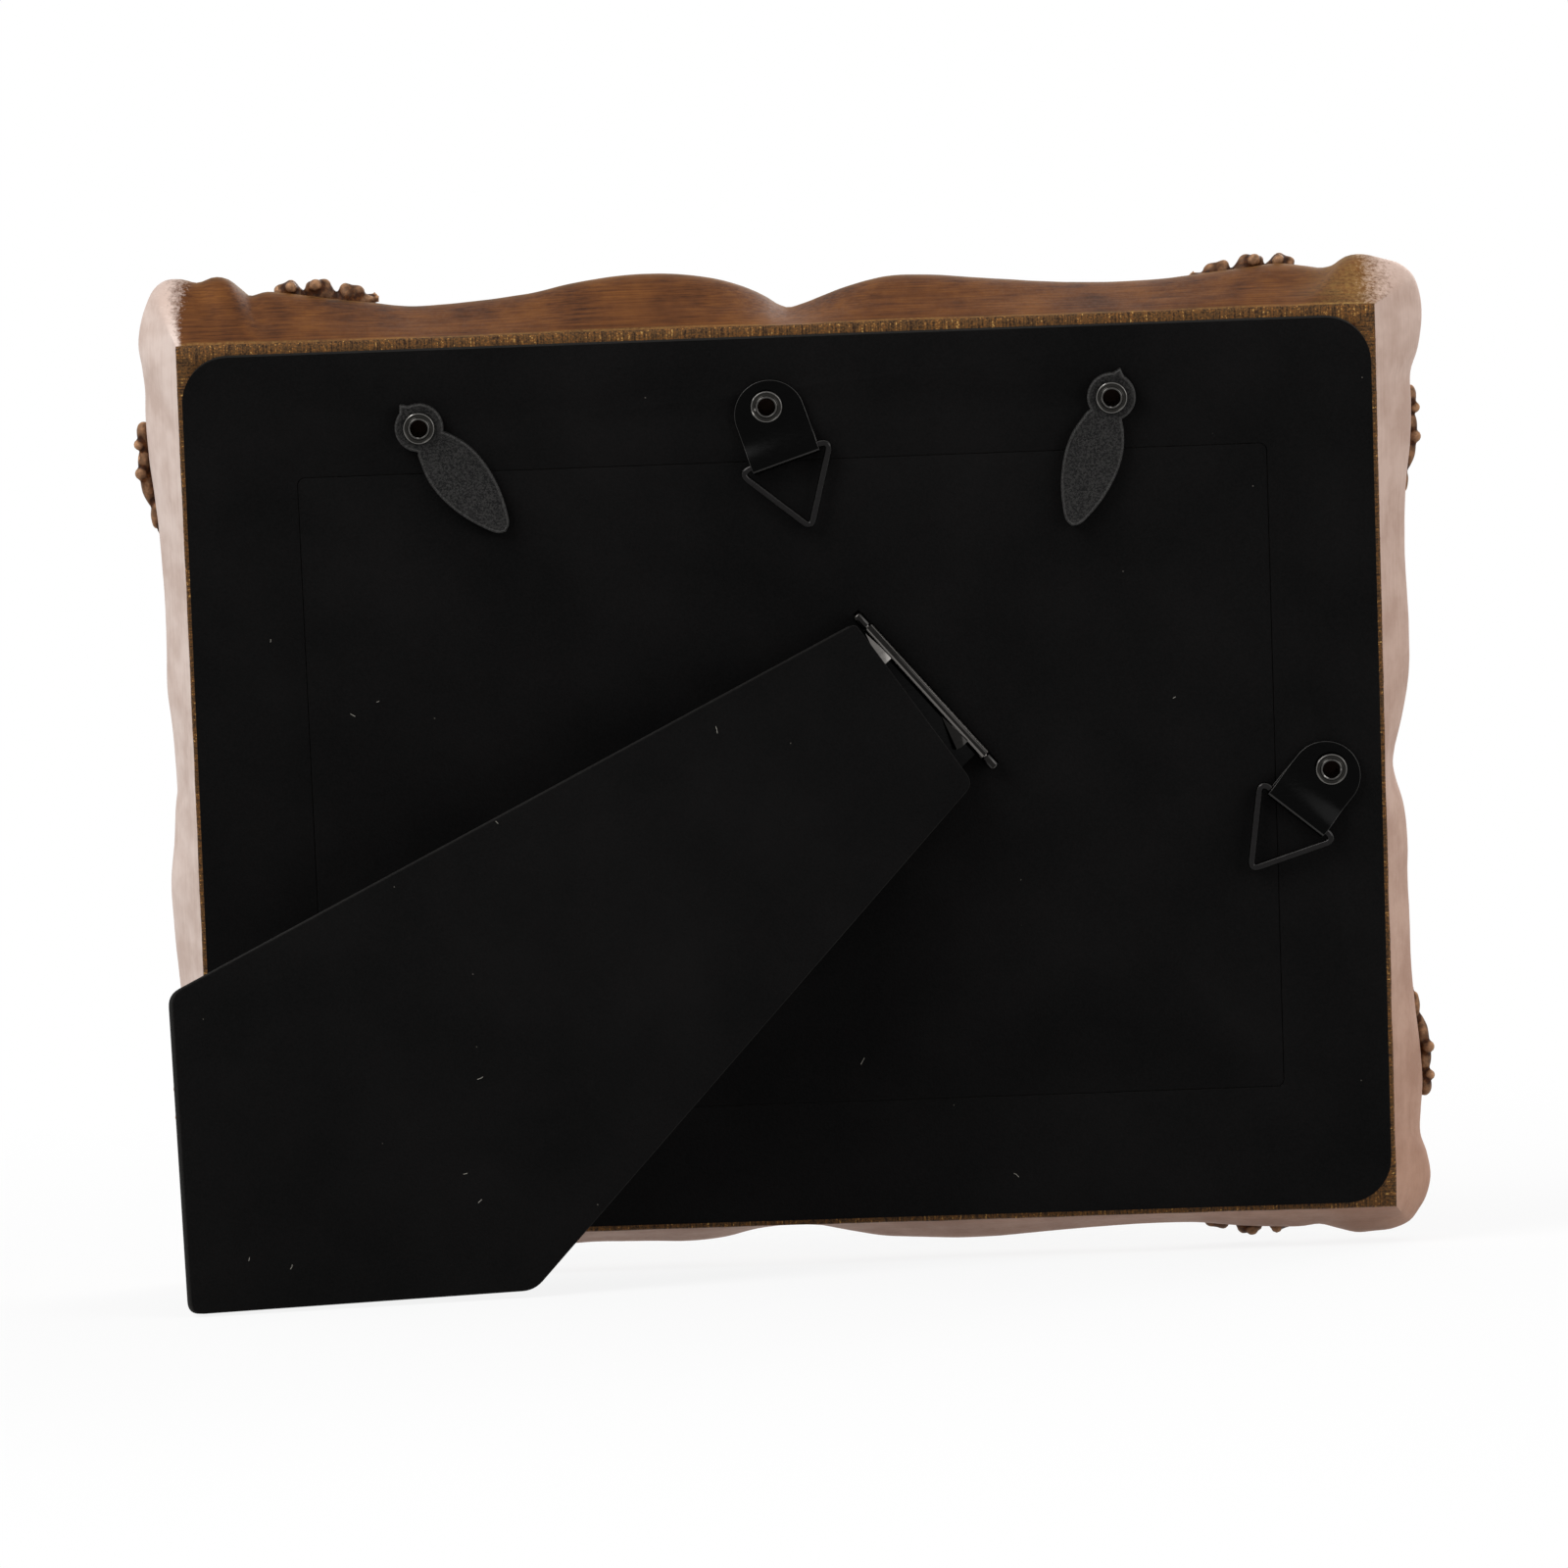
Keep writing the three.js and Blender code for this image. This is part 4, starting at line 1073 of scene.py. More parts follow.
def gilding(x, y):
    """How much gold is rubbed on at a place, in a patch that also paints a highlight."""
    away = (x - GOLD_MIDDLE.x) ** 2 + (y - GOLD_MIDDLE.y) ** 2
    return GOLD_STRENGTH * math.exp(-(away / GOLD_RADIUS ** 2))


def set_attribute(piece, name, values):
    """Stores a number on each vertex, for the finish to read."""
    attribute = piece.data.attributes.new(name, "FLOAT", "POINT")
    attribute.data.foreach_set("value", values)


def casting_body(settings):
    """The casting's swept body, with the numbers that its paint follows."""
    stations = casting_stations(settings.step / MM)
    rings = casting_rings()
    lobes = {
        1: round(HALF_BACK.x * 2 / (settings.lobe_width / MM)),
        0: round(HALF_BACK.y * 2 / (settings.lobe_width / MM)),
    }
    depth = settings.lobe_depth / MM
    piece = add(
        bpy.ops.mesh.primitive_grid_add, x_subdivisions=len(stations), y_subdivisions=len(rings), size=2,
    )
    names = ("long_side", "rim", "pale", "tan_and_shade", "rub", "bare_and_shade")
    values = {name: [] for name in names}
    for vertex in piece.data.vertices:
        unit, wave = stations[round((vertex.co.x + 1) / 2 * len(stations)) % len(stations)]
        ring = rings[round((vertex.co.y + 1) / 2 * len(rings)) % len(rings)]
        half_x, half_y, share, level, rim, side, rub, bare_and_shade, carved = ring
        long_side = abs(unit.y) == 1
        place = unit.x if long_side else unit.y
        lobe = abs(math.sin(math.pi / 2 * lobes[long_side] * place)) ** LOBE_FULLNESS
        # The back's skew fades out where the outline takes over, which has it already
        base = Vector((unit.x * half_x, unit.y * half_y))
        x, y = base + wave * share + (askew(base) - base) * (1 - share) * clamped(rim + side)
        vertex.co = (x, y, level - carved * depth * lobe)
        values["long_side"].append(float(long_side))
        values["rim"].append(clamped(rim))
        values["pale"].append(clamped(side) * paleness(x, y, long_side))
        values["tan_and_shade"].append(tan_and_shade_share(x, y, long_side))
        crest = 1 - GROOVE_LOSS * carved * (1 - lobe)
        # Gold on the crests, plus the patch round the upper right mitre, which also paints a highlight
        values["rub"].append(clamped(rub * crest + side * gilding(x, y)))
        # Painted shade deepens the grooves between the lobes
        values["bare_and_shade"].append(clamped(bare_and_shade + carved * (1 - lobe) ** 2))
    for name in names:
        set_attribute(piece, name, values[name])
    outward(piece, weld=WELD)
    ripples(piece, settings.ripple / MM, RIPPLE_SIZE)
    return piece


def ripples(piece, strength, scale):
    """Uneven swellings of a hand-finished surface."""
    texture = bpy.data.textures.new("ripples", "CLOUDS")
    texture.noise_scale = scale
    texture.noise_depth = 2
    modify(piece, "DISPLACE", texture=texture, strength=strength, mid_level=0.5)


# Carved shapes, each modelled once at a size of one: a leaf along +y from the origin, and round
# flowers and buds about it, with their faces up


def leaf():
    """A lobed leaf: a grid drawn in to its outline, crowned, with a groove down its middle."""
    piece = add(bpy.ops.mesh.primitive_grid_add, x_subdivisions=12, y_subdivisions=22, size=2)
    # The edge has seven lobes, the veins slant towards the tip, and the blade curls up at both ends
    for vertex in piece.data.vertices:
        across, along = vertex.co.x, (vertex.co.y + 1) / 2
        lobes = 1 + 0.2 * abs(math.sin(math.pi * (3.5 * along + 0.25)))
        half = 0.5 * (0.12 + 0.8 * math.sin(math.pi * along ** 0.85) ** 0.7) * lobes
        crown = 0.2 * (1 - across ** 2) - 0.13 * math.exp(-((across / 0.16) ** 2))
        veins = 0.035 * math.cos(7 * math.pi * (along - 0.35 * abs(across)))
        vertex.co = (across * half, along, crown + veins * abs(across) + 0.25 * (along - 0.35) ** 2)
    modify(piece, "SOLIDIFY", thickness=0.24, offset=-1)
    return piece


def rose():
    """A full-blown rose: three rounds of petals over a button."""
    piece = add(bpy.ops.mesh.primitive_uv_sphere_add, segments=48, ring_count=24, radius=1)
    for vertex in piece.data.vertices:
        x, y, z = vertex.co
        radius, angle = math.hypot(x, y), math.atan2(y, x)
        rounds = sum(
            0.12 * math.exp(-(((radius - at - 0.05 * math.cos(5 * angle + turn)) / 0.06) ** 2))
            for at, turn in ((0.26, 0), (0.52, 2), (0.78, 4.4))
        )
        edge = 1 + 0.09 * math.cos(5 * angle + 1) * radius
        vertex.co = (x * edge, y * edge, z * 0.68 - (rounds if z > 0 else 0))
    return piece


def bud():
    """A closed bud along +y: a pointed egg in three sepals."""
    piece = add(bpy.ops.mesh.primitive_uv_sphere_add, segments=24, ring_count=16, radius=1)
    for vertex in piece.data.vertices:
        x, z, y = vertex.co
        along = (y + 1) / 2
        girth = (1 - 0.55 * along) * (1 - 0.14 * abs(math.cos(1.5 * math.atan2(z, x))) ** 3)
        vertex.co = (x * girth, 1.5 * y, z * girth * 0.9)
    outward(piece)
    return piece


def berry():
    """A small berry with a dimple."""
    piece = add(bpy.ops.mesh.primitive_uv_sphere_add, segments=16, ring_count=10, radius=1)
    for vertex in piece.data.vertices:
        x, y, z = vertex.co
        vertex.co = (x, y, z * 0.85 - (0.25 if z > 0.98 else 0))
    return piece


def to_front(x, y, level, turn=0, tip=0):
    """Lays a carved shape on the front: its face to the picture's side, its +y turned from the board's up,
    and its tip raised."""
    return (
        Matrix.Translation((x, y, level)) @ Matrix.Rotation(math.radians(turn), 4, "Z")
        @ Matrix.Rotation(math.pi, 4, "Y") @ Matrix.Rotation(math.radians(tip), 4, "X")
    )


# The garland over each corner, from the back's corner outwards: place, level, size and turn.
# A leaf's size is its length and its width.
GARLAND_ROSES = [
    (-6.5, -9.5, -15.6, 6.0, 0), (-13.6, -4.8, -15.3, 5.1, 40), (-3.7, -17.8, -15.3, 4.9, 80),
    (-20.6, -3.2, -15.0, 3.9, 15), (0.6, -24.6, -15.0, 3.7, 60),
    (-28.4, 3.1, -14.8, 2.6, 20), (-23.5, 3.9, -14.6, 2.7, 70), (-18.4, 3.8, -14.8, 2.6, 130),
]
GARLAND_LEAVES = [
    (-4.5, -5.5, -15.8, 9.0, 8.0, -45), (-9.5, -2.5, -15.6, 5.4, 6.0, -12),
    (0.4, -13.0, -15.6, 4.4, 5.0, -75), (-24.0, -3.5, -14.4, 10.0, 7.0, 78),
    (-24.5, 0.2, -14.2, 8.0, 5.0, 70), (1.0, -28.0, -14.4, 10.0, 7.0, 184),
    (2.4, -28.5, -14.2, 7.0, 4.6, 190), (-11.5, -12.5, -14.6, 10.5, 8.0, 135),
    (-17.5, -7.0, -14.4, 8.0, 6.5, 155), (-8.0, -20.0, -14.4, 8.0, 6.5, 118),
]
GARLAND_BUDS = [
    (5.9, -18.8, -14.4, 2.0, 172), (6.1, -22.8, -14.6, 2.1, 184), (5.7, -27.0, -14.4, 2.0, 176),
    (4.7, -31.0, -14.2, 1.7, 190), (-29.8, 2.8, -14.2, 1.6, 80),
]
GARLAND_BERRIES = [
    (-24.8, -6.4, -14.6, 1.5), (-17.6, -9.6, -14.8, 1.6), (-9.2, -16.8, -15.0, 1.6),
    (-6.6, -24.0, -14.8, 1.5), (-2.6, -28.2, -14.6, 1.4), (-30.4, -2.6, -14.2, 1.3),
    (1.0, -35.4, -14.0, 1.2), (-22.9, 5.6, -13.6, 1.1), (-18.9, 5.5, -13.6, 1.0),
    (7.1, -19.4, -13.6, 0.9), (7.0, -24.2, -13.6, 1.0),
]

# How flat the roses are for their width, how deep the leaves' relief is, and how far their tips rise
ROSE_FLATNESS = 0.85
LEAF_RELIEF = 6.0
LEAF_TIP = 4

# How far each corner's garland is set out from the place that the quarters share
GARLAND_OUTWARD = {(1, 1): (0, 0.4), (-1, 1): (1.5, 1.9), (1, -1): (-0.2, 0.6), (-1, -1): (0.4, 0.2)}

# The upper right garland leans along the top: by how much, and from where up
GARLAND_LEAN = 0.2
LEAN_FROM = HALF_BACK.y - 16

# How uneven the carving is, and the size of a ripple on it
CARVING_RIPPLE = 0.3
CARVING_RIPPLE_SIZE = 2.5


def cast_in_one(shapes, grain):
    """Fuses overlapping shapes into one uneven skin, as a casting has it, and eases its steps."""
    piece = join(shapes)
    modify(piece, "REMESH", mode="VOXEL", voxel_size=grain)
    modify(piece, "SMOOTH", factor=0.5, iterations=2)
    ripples(piece, CARVING_RIPPLE, CARVING_RIPPLE_SIZE)
    return piece


def garland(grain):
    """One corner's garland, at the corner that is right and up as seen from behind."""
    patterns = {"leaf": leaf(), "rose": rose(), "bud": bud(), "berry": berry()}
    corner = Matrix.Translation((HALF_BACK.x, HALF_BACK.y, 0))
    laid = [
        *[
            ("rose", (*place, turn), (size, size, size * ROSE_FLATNESS))
            for *place, size, turn in GARLAND_ROSES
        ],
        *[
            ("leaf", (*place, turn, LEAF_TIP), (wide, long, LEAF_RELIEF))
            for *place, long, wide, turn in GARLAND_LEAVES
        ],
        *[("bud", (*place, turn), [size] * 3) for *place, size, turn in GARLAND_BUDS],
        *[("berry", place, [size] * 3) for *place, size in GARLAND_BERRIES],
    ]
    shapes = [
        copy_of(patterns[kind], corner @ to_front(*placing) @ Matrix.Diagonal((*sizes, 1)))
        for kind, placing, sizes in laid
    ]
    for pattern in patterns.values():
        bpy.data.objects.remove(pattern)
    return cast_in_one(shapes, grain)


# The scrolls that run along a side and curl in at its middle, round a raised eye
SCROLL_STEP = 1.5
SCROLL_INWARD = 4.6
SCROLL_LEVEL = -16.3
SCROLL_END = 0.66
SCROLL_START = 8.5
VOLUTE_RADIUS = 3.4
VOLUTE_TURNS = 1.35
VOLUTE_STEPS = 26
VOLUTE_CLOSING = 0.62
EYE_RISE = 0.4
EYE_SIZE = 1.7

# The palmette's leaves, as turn and length, and how far in from the back's edge they meet under a knop
PALMETTE = ((180, 11), (146, 9), (214, 9), (112, 7), (248, 7))
PALMETTE_INWARD = 4
PALMETTE_LEVEL = -15.6
PALMETTE_RELIEF = 5
PALMETTE_TIP = -6
KNOP_INWARD = 3.4
KNOP_LEVEL = -16
KNOP_SIZE = 2.6


def side_scrolls(long_side, grain):
    """Two mirrored scrolls and a palmette, for the long side's top or the short side's right."""
    quarters = outline_quarter((1, 1), SCROLL_STEP)
    side = quarters[0] if long_side else [Vector((point.y, point.x)) for point in reversed(quarters[1])]
    reach = (HALF_BACK.x if long_side else HALF_BACK.y) * SCROLL_END
    edge = HALF_BACK.y if long_side else HALF_BACK.x
    course = [Vector((p.x, p.y - SCROLL_INWARD)) for p in side if SCROLL_START < p.x < reach][::-1]
    centre = course[-1] - Vector((0, VOLUTE_RADIUS))
    for i in range(1, VOLUTE_STEPS + 1):
        angle = math.pi / 2 + 2 * math.pi * VOLUTE_TURNS * i / VOLUTE_STEPS
        radius = VOLUTE_RADIUS * (1 - VOLUTE_CLOSING * i / VOLUTE_STEPS)
        course.append(centre + radius * Vector((math.cos(angle), math.sin(angle))))
    # A scroll swells from a thin end, and thins again as it curls in
    count = len(course)
    radii = [0.5 + 1.15 * min(1, 1.6 * i / count) - 0.45 * max(0, 2 * i / count - 1) for i in range(count)]
    half = tube([(*point, SCROLL_LEVEL) for point in course], radii)
    eye = berry()
    eye.data.transform(to_front(*centre, SCROLL_LEVEL - EYE_RISE) @ Matrix.Scale(EYE_SIZE, 4))
    half = join([half, eye])
    shapes = [half, copy_of(half, Matrix.Diagonal((-1, 1, 1, 1)))]
    pattern = leaf()
    for turn, long in PALMETTE:
        placing = to_front(0, edge - PALMETTE_INWARD, PALMETTE_LEVEL, turn, PALMETTE_TIP)
        shapes.append(copy_of(pattern, placing @ Matrix.Diagonal((long / 2, long, PALMETTE_RELIEF, 1))))
    bpy.data.objects.remove(pattern)
    knop = rose()
    knop.data.transform(to_front(0, edge - KNOP_INWARD, KNOP_LEVEL) @ Matrix.Scale(KNOP_SIZE, 4))
    shapes.append(knop)
    if not long_side:
        across_for_up = Matrix(((0, 1, 0, 0), (1, 0, 0, 0), (0, 0, 1, 0), (0, 0, 0, 1)))
        for shape in shapes:
            shape.data.transform(across_for_up)
            shape.data.flip_normals()
    return cast_in_one(shapes, grain)


def settle_carving(piece, name):
    """Puts a carved piece on the casting, in the carving's paint."""
    settle(piece, name, BOARD, "frame", finish("painted_carving"), angle=60)


class PHOTOFRAME_OT_casting(Operator):
    """Adds the resin casting: raw rim, scalloped side, gadrooned front and sight edge"""
    bl_idname = "photo_frame.add_casting"
    bl_label = "Casting"

    def execute(self, context):
        body = casting_body(context.scene.frame_casting)
        settle(
            body, "casting", BOARD, "frame", finish("painted_resin"),
            stands_for=CASTING_NODES, angle=50,
        )
        return {"FINISHED"}


class PHOTOFRAME_OT_carving(Operator):
    """Adds the carving on the casting: four corner garlands and the scrolls along each side"""
    bl_idname = "photo_frame.add_carving"
    bl_label = "Carving"

    def execute(self, context):
        grain = context.scene.frame_casting.grain / MM
        corner = garland(grain)
        for (sx, sy), outward_by in GARLAND_OUTWARD.items():
            placing = Matrix.Diagonal((sx, sy, 1, 1)) @ Matrix.Translation((*outward_by, 0))
            name = f"garland_{'upper' if sy > 0 else 'lower'}_{'right' if sx > 0 else 'left'}"
            twin = copy_of(corner, placing)
            if (sx, sy) == (1, 1):
                for vertex in twin.data.vertices:
                    vertex.co.x += GARLAND_LEAN * max(0.0, vertex.co.y - LEAN_FROM)
            settle_carving(twin, name)
        bpy.data.objects.remove(corner)
        for long_side, first, second in ((True, "top", "bottom"), (False, "right", "left")):
            scrolls = side_scrolls(long_side, grain)
            mirror = Matrix.Diagonal((1, -1, 1, 1) if long_side else (-1, 1, 1, 1))
            settle_carving(copy_of(scrolls, mirror), f"scrolls_{second}")
            settle_carving(scrolls, f"scrolls_{first}")
        return {"FINISHED"}


# The pearls: how far out from the sight edge, their level, their pitch in radii, and their flatness
PEARL_OUT = 3.6
PEARL_LEVEL = -13.6
PEARL_PITCH = 2.1
PEARL_FLATNESS = 0.9


class PHOTOFRAME_OT_pearls(Operator):
    """Adds the string of pearls along the sight edge"""
    bl_idname = "photo_frame.add_pearls"
    bl_label = "Pearls"

    def execute(self, context):
        radius = context.scene.frame_casting.pearl / MM
        pearl = add(bpy.ops.mesh.primitive_uv_sphere_add, segments=10, ring_count=6, radius=radius)
        pearl.data.transform(Matrix.Diagonal((1, 1, PEARL_FLATNESS, 1)))
        corners = [grown(HALF_SIGHT, PEARL_OUT) * Vector(signs) for signs in CORNERS]
        places = []
        for start, end in zip(corners, [*corners[1:], corners[0]]):
            count = round((end - start).length / (PEARL_PITCH * radius))
            places += [start.lerp(end, i / count) for i in range(count)]
        string = join([copy_of(pearl, Matrix.Translation((*place, PEARL_LEVEL))) for place in places])
        bpy.data.objects.remove(pearl)
        settle_carving(string, "sight_pearls")
        return {"FINISHED"}


# The door's play, its slit for the hinge's leaf, and the round corners of door and board
DOOR_PLAY = 0.1
SLIT_HALF = 0.55
SLIT_DEPTH = 9
BOARD_CORNER = 7.4
DOOR_CORNER = 1.2

# The glue between a board and its velvet, how far a core's edge lies in for the velvet's thickness, an
# eyelet's hole, and how far a cutting tool reaches past what it cuts
GLUE = 0.05
CORE_INSET = 1.1
EYELET_HOLE = 1.85
CUT_PAST = 1


def drill(piece, low, high, x=0, y=0):
    """Drills a hole for an eyelet, from one level to another."""
    carve(piece, rod(EYELET_HOLE, (x, y, low - CUT_PAST), (x, y, high + CUT_PAST)))


def drill_eyelets(piece, top):
    """Drills the four eyelet holes through a sheet, up to its top."""
    for space in (*BUTTONS.values(), *HANGERS.values()):
        x, y, _ = on_board(space.translation)
        drill(piece, 0, top, x, y)


class PHOTOFRAME_OT_back(Operator):
    """Adds the fixed board in its wrapped velvet, and the velvet of the door"""
    bl_idname = "photo_frame.add_back"
    bl_label = "Velvet back"

    def execute(self, context):
        settings = context.scene.frame_back
        skirt, edge = settings.skirt / MM, settings.edge / MM
        opening = rounded(grown(HALF_DOOR, DOOR_PLAY), DOOR_CORNER + DOOR_PLAY)
        whole, inner, innermost = (
            [askew(point) for point in rounded(grown(HALF_BOARD, -inset), BOARD_CORNER - inset)]
            for inset in (0, skirt, skirt * CORE_INSET)
        )
        core = plate(innermost, BOARD_BOTTOM, BOARD_TOP)
        carve(core, plate(opening, -CUT_PAST, BOARD_TOP + CUT_PAST))
        drill_eyelets(core, BOARD_TOP)
        settle(core, "board_core", BOARD, "frame", finish("dark_hardboard"), ["back_board"])

        velvet = plate(whole, BOARD_BOTTOM, VELVET_TOP)
        carve(velvet, plate(inner, -CUT_PAST, BOARD_TOP + GLUE))
        carve(velvet, plate(opening, -CUT_PAST, VELVET_TOP + CUT_PAST))
        drill_eyelets(velvet, VELVET_TOP)
        soften(velvet, edge / 2, 3)
        settle(
            velvet, "board_velvet", BOARD, "frame", finish("flocked_velvet"),
            ["back_board_velvet"],
        )

        door = plate(rounded(HALF_DOOR, DOOR_CORNER), BOARD_TOP + GLUE, VELVET_TOP)
        half_length = HALF_PIN + SEAT_GAP
        slit = block((-half_length, -SLIT_HALF, -SLIT_DEPTH), (half_length, SLIT_HALF, SLIT_DEPTH))
        slit.data.transform(BOARD.inverted() @ HINGE)
        carve(door, slit)
        soften(door, edge / 2, 3)
        settle(
            door, "door_velvet_cover", BOARD, "frame", finish("flocked_velvet"),
            ["door_velvet"],
        )
        return {"FINISHED"}


# The leg's outline, laid out as it lies when it is folded flat against the board: its ends beside the
# hinge, its foot, and the eases of its corners. The wrap reaches a little way under the core.
LEG_END_UPPER = (0.5, 1.5)
LEG_END_LOWER = (0.6, 4.9)
FOOT_UPRIGHT = 50.5
FOOT_WIDTH = 55.5
LEG_CORNERS = (0.9, 2, 2, 2, 2)
WRAP_UNDER = 0.2

# The hinge's sheet, how far its leaf is narrower than its knuckle, its ears, and the leaf's play in the leg
HALF_SHEET = 0.25
LEAF_SHOULDER = 1.1
EAR_LENGTH = 2.2
LEAF_PLAY = 0.2


def leg_corners():
    """The leg's five corners, anticlockwise from the hinge's upper end."""
    low, _ = extent("easel_leg", LEG)
    to_board = BOARD.inverted() @ HINGE
    upper = to_board @ Vector((LEG_END_UPPER[0] - HALF_PIN, -LEG_END_UPPER[1], 0))
    lower = to_board @ Vector((HALF_PIN - LEG_END_LOWER[0], -LEG_END_LOWER[1], 0))
    return [
        upper.xy,
        Vector((low.x, low.y + FOOT_UPRIGHT)),
        Vector((low.x, low.y)),
        Vector((low.x + FOOT_WIDTH, low.y)),
        lower.xy,
    ]


class PHOTOFRAME_OT_leg(Operator):
    """Adds the easel leg: its hardboard core in a velvet wrap, with a slot for the hinge's leaf"""
    bl_idname = "photo_frame.add_leg"
    bl_label = "Easel leg"

    def execute(self, context):
        settings = context.scene.frame_back
        skirt, edge = settings.skirt / MM, settings.edge / MM
        corners = leg_corners()
        core_bottom, core_top = (corner.z for corner in extent("easel_leg", LEG))
        wrap_top = extent("leg_velvet", LEG)[1].z
        wrap_bottom = core_bottom - WRAP_UNDER
        half_leaf = HALF_PIN - EAR_LENGTH - LEAF_SHOULDER
        reach = -extent("hinge_leaf_leg", HINGE_ON_LEG)[0].y + SEAT_GAP
        to_leg = LEG.inverted() @ HINGE_ON_LEG

        inner_corners = [ease - skirt for ease in LEG_CORNERS]
        core = plate(eased(drawn_in(corners, skirt * CORE_INSET), inner_corners), core_bottom, core_top)
        wrap = plate(eased(corners, LEG_CORNERS), wrap_bottom, wrap_top)
        hollow = eased(drawn_in(corners, skirt), inner_corners)
        carve(wrap, plate(hollow, wrap_bottom - CUT_PAST, core_top + GLUE))
        half_slot = HALF_SHEET + LEAF_PLAY
        for piece in (core, wrap):
            slot = block((-half_leaf, -reach, -half_slot), (half_leaf, CUT_PAST, half_slot))
            slot.data.transform(to_leg)
            carve(piece, slot)
        # The wrap's edges take a lighter velvet: abrasion and a painted highlight
        soften(wrap, edge, 3, worn=True)
        settle(core, "leg_core", LEG, "leg", finish("dark_hardboard"), ["easel_leg"])
        settle(
            wrap, "leg_wrap", LEG, "leg", finish("flocked_velvet"), ["leg_velvet"],
            edges=finish("rubbed_velvet"),
        )
        return {"FINISHED"}


# Radii of the hinge's knuckle, its bore, the fixed leaf's ears, the pin and its heads, how flat the heads
# are, and how rounded a sheet's edges are
KNUCKLE_RADIUS = 1.05
KNUCKLE_BORE = 0.6
EAR_RADIUS = 0.9
PIN_RADIUS = 0.45
PIN_HEAD = 0.62
HEAD_FLATNESS = 0.45
SHEET_EDGE = 0.1

# The darts: their places along the pin, their size, how far they rise and how far they reach into the
# knuckle, then how far their blunt end is set back, and the share of the width where that starts
DART_PLACES = (-11.1, 7.3)
DART_LENGTH = 6.4
DART_WIDTH = 2.2
DART_RISE = 0.75
DART_ROOT = 0.25
DART_BLUNT = 0.3
DART_SHOULDER = 0.6

# How far the knuckle's faces lean out of the board where its highlight lines are painted
KNUCKLE_HIGHLIGHT = (0.75, 0.9)


def knuckle(start, end, radius):
    """A rolled knuckle round the pin, from one place along it to another."""
    piece = rod(radius, (start, 0, 0), (end, 0, 0), 32)
    carve(piece, rod(KNUCKLE_BORE, (start - CUT_PAST, 0, 0), (end + CUT_PAST, 0, 0), 24))
    return piece


def knuckle_highlights(face):
    """Whether a face of the knuckle gets a painted highlight: two lines along it, its ends and the upper
    dart.
    """
    normal, middle = face.normal, face.calc_center_median()
    lines = KNUCKLE_HIGHLIGHT[0] < normal.z < KNUCKLE_HIGHLIGHT[1] and abs(normal.x) < 0.1
    ends = abs(normal.x) > 0.5 and normal.z > -0.1
    upper_dart = normal.z > 0.9 and middle.x < 0 and middle.y < -KNUCKLE_RADIUS
    return lines or ends or upper_dart


def dart(place):
    """A dart pressed out beside the knuckle, which widens to a blunt, upright lower end."""
    start, end = place - DART_LENGTH / 2, place + DART_LENGTH / 2
    edge = -KNUCKLE_RADIUS + DART_ROOT
    outline = [
        (start, edge), (end - DART_BLUNT, edge - DART_WIDTH), (end, edge - DART_WIDTH * DART_SHOULDER),
        (end, edge),
    ]
    piece = plate(outline, -HALF_SHEET, HALF_SHEET)
    for vertex in piece.data.vertices:
        if vertex.co.z > 0:
            vertex.co.z += DART_RISE * (vertex.co.x - start) / DART_LENGTH
    return piece


